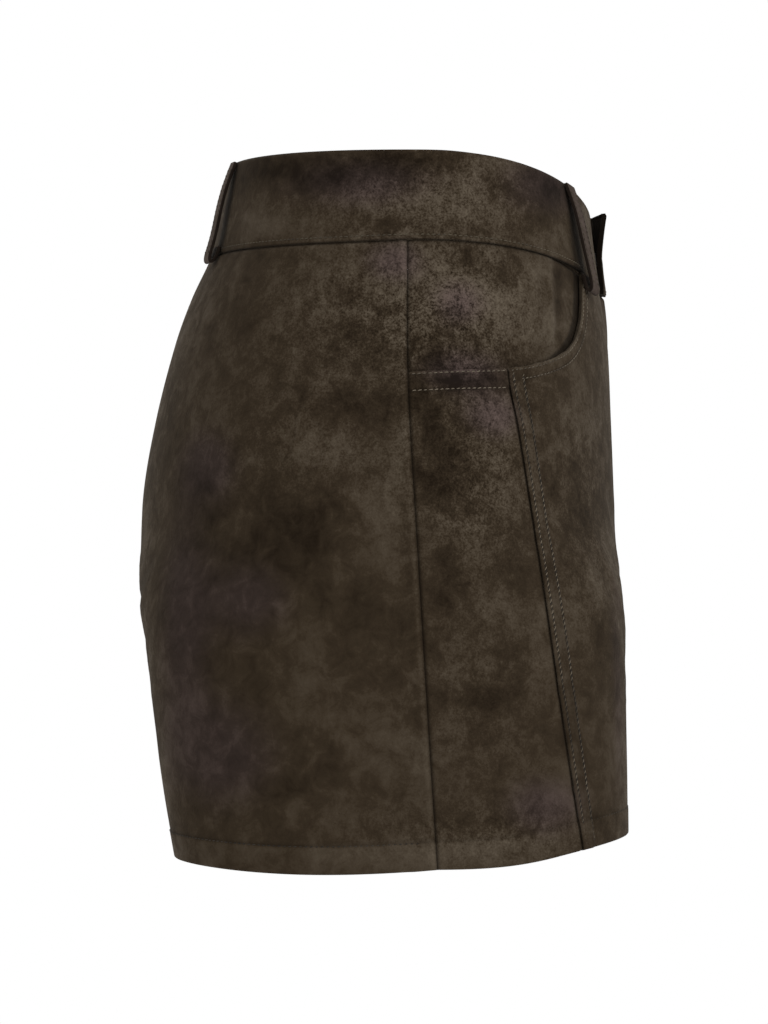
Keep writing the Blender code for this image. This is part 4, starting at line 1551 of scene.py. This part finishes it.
# %% [markdown]
# ## Behind the fly
# The shield is seen only from inside: a strip of the same suede that keeps the zip off the
# skin. The zip's flat woven tape lies between it and the fronts. Its teeth would lie in that
# narrow space, where nothing shows them, so the tape alone is laid.

# %% The zip's tape and the shield
FLY_START = 0.004         # share of the way down, just under the waist seam
ZIP_WIDTH = 24.0
ZIP_WALL = 1.0
ZIP_SPACE = 0.5
SHIELD_WIDTH = 44.0
SHIELD_LONGER = 6.0
SHIELD_OFFSET = 4.0


def middle_strip(width, depth, length, offset, columns=24, rows=70):
    """Points of a strip behind the centre front, from the wearer's left to the right."""
    down = np.linspace(FLY_START, length / DROP, rows + 1)[:, None]
    x = np.linspace(offset + width / 2, offset - width / 2, columns + 1)[None, :]
    x, down = np.broadcast_arrays(x, down)
    around = round_from_middle(form_points, np.abs(x), down)
    points = form_points(around, down) - outward(form_points, around, down) * depth
    return points * handed(np.where(x >= 0, 1.0, -1.0))


CLOTH_TAPE = plain_material("zip tape", (0.012, 0.010, 0.009), 0.9)

zip_depth = SUEDE + ZIP_SPACE
tape_points = middle_strip(ZIP_WIDTH, zip_depth, FLY_LENGTH, 0.0)
tape = lay_sheet("zip_tape", tape_points, {"fold": np.zeros(tape_points.shape[:2])}, 1)
give_wall(tape, ZIP_WALL, CLOTH_TAPE)
shield_depth = zip_depth + ZIP_WALL + SEAM_GAP
shield_length = FLY_LENGTH + SHIELD_LONGER
shield_points = middle_strip(SHIELD_WIDTH, shield_depth, shield_length, SHIELD_OFFSET)
e = edges_of(shield_points)
# painted shade along the shield's edges
shield_fold = 0.3 * bump(np.minimum(e["left"], e["right"]), 0.0, 0.8)
shield_facts = with_facts(shield_points, shield_fold, 1)
shield = lay_sheet("suede_fly_shield", shield_points, shield_facts, 1)
give_wall(shield, SUEDE, PANEL_SUEDE)
for piece, node, slot in ((tape, "fly_zip", "zip"), (shield, "fly_shield", "suede")):
    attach(piece, "root")
    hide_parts(node)
for name, points in (("tape", tape_points), ("shield", shield_points)):
    print(name, "area", round(cloth_area(points), 5), "m2")

# %% [markdown]
# ## Topstitching
# Thick topstitching shows on suede as short pale dashes in a shallow furrow, about four to
# the centimetre. One stitch is modelled, a small arched bead of thread, and copied along
# each row into one mesh. The rows are found by walking square to a seam over the form.
# Beside the princess seam, the shade in the needle holes between the stitches is painted: nearly
# black beads are laid between them.

# %% One stitch
PITCH = 2.6
STITCH_LENGTH = 1.75
THREAD = 0.29
THINNED = 0.55
FLATTENED = 0.8
ARCH = 0.30
ARCH_TOP = 0.16


def one_stitch():
    """Points and faces of a stitch along x, with z outwards, in millimetres."""
    deselect()
    bpy.ops.mesh.primitive_cylinder_add(
        vertices=6, radius=THREAD, depth=STITCH_LENGTH, rotation=(0, math.pi / 2, 0))
    made = bpy.context.active_object
    bpy.ops.object.transform_apply(location=False, rotation=True, scale=False)
    bm = bmesh.new()
    bm.from_mesh(made.data)
    for share in (-0.32, 0.0, 0.32):
        whole = bm.verts[:] + bm.edges[:] + bm.faces[:]
        place = (share * STITCH_LENGTH, 0, 0)
        bmesh.ops.bisect_plane(bm, geom=whole, plane_co=place, plane_no=(1, 0, 0))
    bmesh.ops.recalc_face_normals(bm, faces=bm.faces)
    for vert in bm.verts:
        share = vert.co.x / STITCH_LENGTH * 2
        thin = 1 - THINNED * abs(share) ** 3
        vert.co.y *= thin
        vert.co.z = vert.co.z * thin * FLATTENED + ARCH_TOP - ARCH * share * share
    bm.verts.index_update()
    points = np.array([vert.co[:] for vert in bm.verts])
    faces = [[vert.index for vert in face.verts] for face in bm.faces]
    bm.free()
    bpy.data.objects.remove(made, do_unlink=True)
    return points, faces


STITCH_POINTS, STITCH_FACES = one_stitch()
print("one stitch:", len(STITCH_FACES), "faces")

# %% Walking square to a line over the form


def walked(around, down, distance, steps=5):
    """Places on the form this far from a line of places, square to it.

    Seen from outside on the worked side, with the line running up, they lie to its left.
    """
    step = 0.002
    for again in range(steps):
        point = form_points(around, down)
        square = np.cross(outward(form_points, around, down), np.gradient(point, axis=0))
        square = square / np.linalg.norm(square, axis=-1, keepdims=True) * (distance / steps)
        by_round = (form_points(around + step, down) - point) / step
        low = np.minimum(down + step, 1.0)
        high = np.maximum(down - step, 0.0)
        by_down = (form_points(around, low) - form_points(around, high)) / (low - high)[:, None]
        aa = (by_round * by_round).sum(axis=-1)
        dd = (by_down * by_down).sum(axis=-1)
        ad = (by_round * by_down).sum(axis=-1)
        wa = (by_round * square).sum(axis=-1)
        wd = (by_down * square).sum(axis=-1)
        base = aa * dd - ad * ad
        around = around + (wa * dd - wd * ad) / base
        down = np.clip(down + (wd * aa - wa * ad) / base, 0.0, 1.0)
    return around, down


LEAN = 0.09
UNEVEN = 0.16


def read_line(places, lengths, values):
    """Points of a line at these lengths along it."""
    return np.stack([np.interp(places, lengths, values[:, i]) for i in range(3)], axis=-1)


def thread_rows(name, rows, finish, slant=0.1, start=0.5):
    """One mesh of stitches; each row is a line of points and the directions out of them.

    The first stitch lies at this share of a pitch.
    """
    laid = []
    for points, outs in rows:
        steps = np.linalg.norm(np.diff(points, axis=0), axis=1)
        lengths = np.concatenate([[0.0], np.cumsum(steps)])
        places = np.arange(PITCH * start, lengths[-1] - PITCH / 2, PITCH)
        at = read_line(places, lengths, points)
        run = read_line(places + 0.4, lengths, points) - at
        run = run / np.linalg.norm(run, axis=-1, keepdims=True)
        aside = np.cross(read_line(places, lengths, outs), run)
        aside = aside / np.linalg.norm(aside, axis=-1, keepdims=True)
        up = np.cross(run, aside)
        number = np.arange(len(places))
        leaning = run + aside * (slant + LEAN * np.sin(number * 1.7)[:, None])
        leaning = leaning * (1 + UNEVEN * np.sin(number * 2.3)[:, None])
        stitches = at[:, None, :] + STITCH_POINTS[:, 0:1] * leaning[:, None, :]
        stitches = stitches + STITCH_POINTS[:, 1:2] * aside[:, None, :]
        laid.append(stitches + STITCH_POINTS[:, 2:3] * up[:, None, :])
    laid = np.concatenate(laid)
    faces = []
    for stitch in range(len(laid)):
        first = stitch * len(STITCH_POINTS)
        faces.extend([[first + corner for corner in face] for face in STITCH_FACES])
    mesh = bpy.data.meshes.new(name)
    mesh.from_pydata(laid.reshape(-1, 3) * MM, [], faces)
    mesh.shade_smooth()
    made = bpy.data.objects.new(name, mesh)
    made.data.materials.append(finish)
    bpy.context.scene.collection.objects.link(made)
    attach(made, "root")
    print(name, len(laid), "stitches")


def row_on_form(around, down, height, side):
    """A row of points on the panels, raised by the relief there."""
    rise = height + creases(around, down, side)
    out = outward(form_points, around, down)
    points = form_points(around, down) + out * rise[:, None]
    return points * handed(side), out * handed(side)


# %% The thread and the rows of every seam


def thread_material(name, low, high):
    """Thread that is rubbed pale in some places and dark with dye in others."""
    made = plain_material(name, low, 0.8)
    tree = made.node_tree
    place = tree.nodes.new("ShaderNodeTexCoord").outputs["Object"]
    share = spread(tree, noise(tree, place, 26.0, 3.0, 0.6), 0.38, 0.62)
    colour = blended(tree, share, (*low, 1), (*high, 1))
    tree.links.new(colour, tree.nodes["Principled BSDF"].inputs["Base Color"])
    return made


SEAM_THREAD = thread_material("seam thread", (0.045, 0.035, 0.024), (0.185, 0.155, 0.115))
BAND_THREAD = thread_material("band thread", (0.026, 0.019, 0.012), (0.105, 0.086, 0.056))
HEM_THREAD = thread_material("hem thread", (0.007, 0.005, 0.003), (0.045, 0.036, 0.026))
# painted shade of the needle holes: the thread material made nearly black, for beads between the
# princess seam's stitches
PIT_SHADE = thread_material("painted needle hole shade", (0.004, 0.003, 0.002), (0.014, 0.011, 0.008))
ON_CLOTH = 0.10
OUTER_ROW_DROP = 0.25
HEM_ROW_LIFT = 0.30


def princess_rows(side):
    """Two rows beside the princess seam, on the centre front."""
    rows = []
    for distance in ROWS_AT:
        down = np.linspace(MOUTH_AT_PRINCESS + 0.004, 0.996, 200)
        around, down = walked(princess_seam(down), down, -distance)
        height = np.full(down.shape, SEAM_LIFT - STITCH_DIP + ON_CLOTH)
        if distance == ROWS_AT[1]:
            height = height - SEAM_LIFT * OUTER_ROW_DROP
        rows.append(row_on_form(around, down, height, side))
    return rows


def mouth_rows(side):
    """Two rows along the pocket mouth, and two below the side front's top edge."""
    rows = []
    for distance, front_distance in zip(MOUTH_ROWS_AT, FRONT_MOUTH_ROWS_AT):
        around, down = mouth_places(np.linspace(0.01, 1.0, 160))
        around, down = walked(around, down, -front_distance)
        around, down = around[down > 0.003], down[down > 0.003]
        height = np.full(down.shape, MOUTH_LIFT - STITCH_DIP + ON_CLOTH)
        rows.append(row_on_form(around, down, height, side))
        around, down = side_front_top(np.linspace(0.015, 0.985, 90))
        around, down = walked(around, down, distance)
        rows.append(row_on_form(around, down, np.full(90, height[0]), side))
    return rows


def hem_rows(side):
    """The hem's row: over the back, over the side front and over the centre front."""
    rows = []
    edge = float(side_seam(1.0))
    seam = float(princess_seam(1.0))
    back = (0.004, edge - 0.003)
    side_front = (edge + 0.003, seam - 0.003)
    centre_front = (seam + 0.016, 0.996)
    for start, end in (back, side_front, centre_front):
        around = np.linspace(start, end, 160)
        around, down = walked(around, np.ones(160), -HEM_ROW_AT)
        height = np.full(160, HEM_ROW_LIFT - HEM_DIP + ON_CLOTH)
        rows.append(row_on_form(around, down, height, side))
    return rows


def band_row():
    """One row above the waist seam, from the right front all round to the lap's end."""
    around, hand, rise, tip_share = (values[TAIL_COLUMNS:] for values in band_columns())
    ends = band_points(around, np.array([0.0, 1.0])[:, None])
    share = 1 - BAND_ROW_AT / np.linalg.norm(ends[1] - ends[0], axis=-1)
    height = BAND_PROUD + rise - STITCH_DIP + ON_CLOTH - CORNER_TUCK * tip_share
    out = outward(band_points, around, share) * handed(hand)
    points = band_points(around, share) * handed(hand)
    return [(points + out * height[:, None], out)]


FLY_ROW_WIDTH = 32.0


def fly_row():
    """The fly's row on the left front: straight down, then a curve to the centre front."""
    straight = np.linspace(2.0, FLY_LENGTH - FLY_ROW_WIDTH, 90)
    turn = np.linspace(0.0, math.pi / 2, 60)[1:]
    radius = FLY_ROW_WIDTH - 1
    depth = np.concatenate([straight, straight[-1] + np.sin(turn) * radius])
    x = np.concatenate([np.full(90, FLY_ROW_WIDTH), np.cos(turn) * radius + 1])
    down = depth / DROP
    around = round_from_middle(form_points, x, down)
    return [row_on_form(around, down, np.full(len(down), ON_CLOTH), 1)]


LOOP_ROW_IN = 1.7
LOOP_ROW = slice(3, int(LOOP_STEPS * 0.62))


def loop_rows():
    """A row down each edge of every belt loop, on the part that shows."""
    rows = []
    for _, top_round, low_round, side in BELT_LOOPS:
        places = [values[LOOP_ROW] for values in loop_places(top_round, low_round)]
        for edge in (-1, 1):
            points, out = loop_points(*places, edge * (LOOP_WIDTH / 2 - LOOP_ROW_IN))
            points = points + out * (LOOP_WALL / 2 + 0.02)
            rows.append((points * handed(side), out * handed(side)))
    return rows


for side, word in ((-1, "right"), (1, "left")):
    thread_rows(f"thread_mouth_{word}", mouth_rows(side), SEAM_THREAD)
    thread_rows(f"thread_princess_{word}", princess_rows(side), SEAM_THREAD, 0.60 * side)
    # painted shade of the needle holes, half a pitch along from the pale stitches
    thread_rows(f"painted_pit_shade_princess_{word}", princess_rows(side), PIT_SHADE, 0.95 * side, 1.0)
    thread_rows(f"thread_hem_{word}", hem_rows(side), HEM_THREAD)
thread_rows("thread_waistband", band_row(), BAND_THREAD)
thread_rows("thread_fly", fly_row(), BAND_THREAD)
thread_rows("thread_loops", loop_rows(), BAND_THREAD)

# %% [markdown]
# ## The sheets and their solids
# For each laid panel and facing, this loop reads the name of the solid that it stands for;
# the area of each cut was printed when it was laid.

# %% The sheets and their solids
for key, (piece, area) in PANELS.items():
    solid = key.rsplit("_", 1)[0]

# %% [markdown]
# ## The hook
# The flat hook and its bar lie closed under the lap, where only a finger finds them. They are
# small and plain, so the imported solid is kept, and only gets the finish of dull plated steel.

# %% The hook's finish
HOOK_METAL = plain_material("hook metal", (0.30, 0.29, 0.27), 0.35, 1.0)
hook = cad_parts["waist_hook"]
hook.data.materials.clear()
hook.data.materials.append(HOOK_METAL)
print("hook:", len(hook.data.polygons), "faces")

# %% [markdown]
# ## Floor, light and camera
# The picture was taken square to the wearer's right side, on white. A white room gives the
# suede an even light, and one large soft light from the right front draws its relief. The
# room is a little darker and warmer where it lights the cloth than where the camera sees it.

# %% A white room


def soft_light(name, place, target, size, power):
    lamp = bpy.data.lights.new(name, "AREA")
    lamp.shape = "RECTANGLE"
    lamp.size = size[0]
    lamp.size_y = size[1]
    lamp.energy = power
    made = bpy.data.objects.new(name, lamp)
    made.location = place
    towards = Vector(target) - Vector(place)
    made.rotation_euler = towards.to_track_quat("-Z", "Y").to_euler()
    bpy.context.scene.collection.objects.link(made)


MIDDLE = (0.0, 0.015, -0.150)
deselect()
bpy.ops.mesh.primitive_plane_add(size=16.0, location=(0, 0, -2.6))
floor = bpy.context.active_object
floor.name = "studio_floor"
floor.data.materials.append(plain_material("studio white", (0.95, 0.95, 0.95), 0.9))

room = bpy.data.worlds.new("white room")
room.use_nodes = True
room_nodes = room.node_tree.nodes
seen = room_nodes["Background"]
seen.inputs["Color"].default_value = (1, 1, 1, 1)
seen.inputs["Strength"].default_value = 1.0
lit = room_nodes.new("ShaderNodeBackground")
lit.inputs["Color"].default_value = (1.0, 0.965, 0.915, 1)
lit.inputs["Strength"].default_value = 0.66
rays = room_nodes.new("ShaderNodeLightPath")
either = room_nodes.new("ShaderNodeMixShader")
room.node_tree.links.new(rays.outputs["Is Camera Ray"], either.inputs["Fac"])
room.node_tree.links.new(lit.outputs[0], either.inputs[1])
room.node_tree.links.new(seen.outputs[0], either.inputs[2])
room.node_tree.links.new(either.outputs[0], room_nodes["World Output"].inputs["Surface"])
bpy.context.scene.world = room
bpy.context.scene.view_settings.view_transform = "Standard"
soft_light("key light", (-1.7, -1.3, 0.9), MIDDLE, (0.9, 0.9), 14)
print("lights set")

# %% The camera, square to the right side
CAMERA_AWAY = 2.4
camera = bpy.data.objects.new("side_camera", bpy.data.cameras.new("side_camera"))
camera.location = (-CAMERA_AWAY, *MIDDLE[1:])
camera.rotation_euler = (math.pi / 2, 0.0, -math.pi / 2)
camera.data.lens = 168.75
camera.data.sensor_width = 36.0
bpy.context.scene.collection.objects.link(camera)
bpy.context.scene.camera = camera
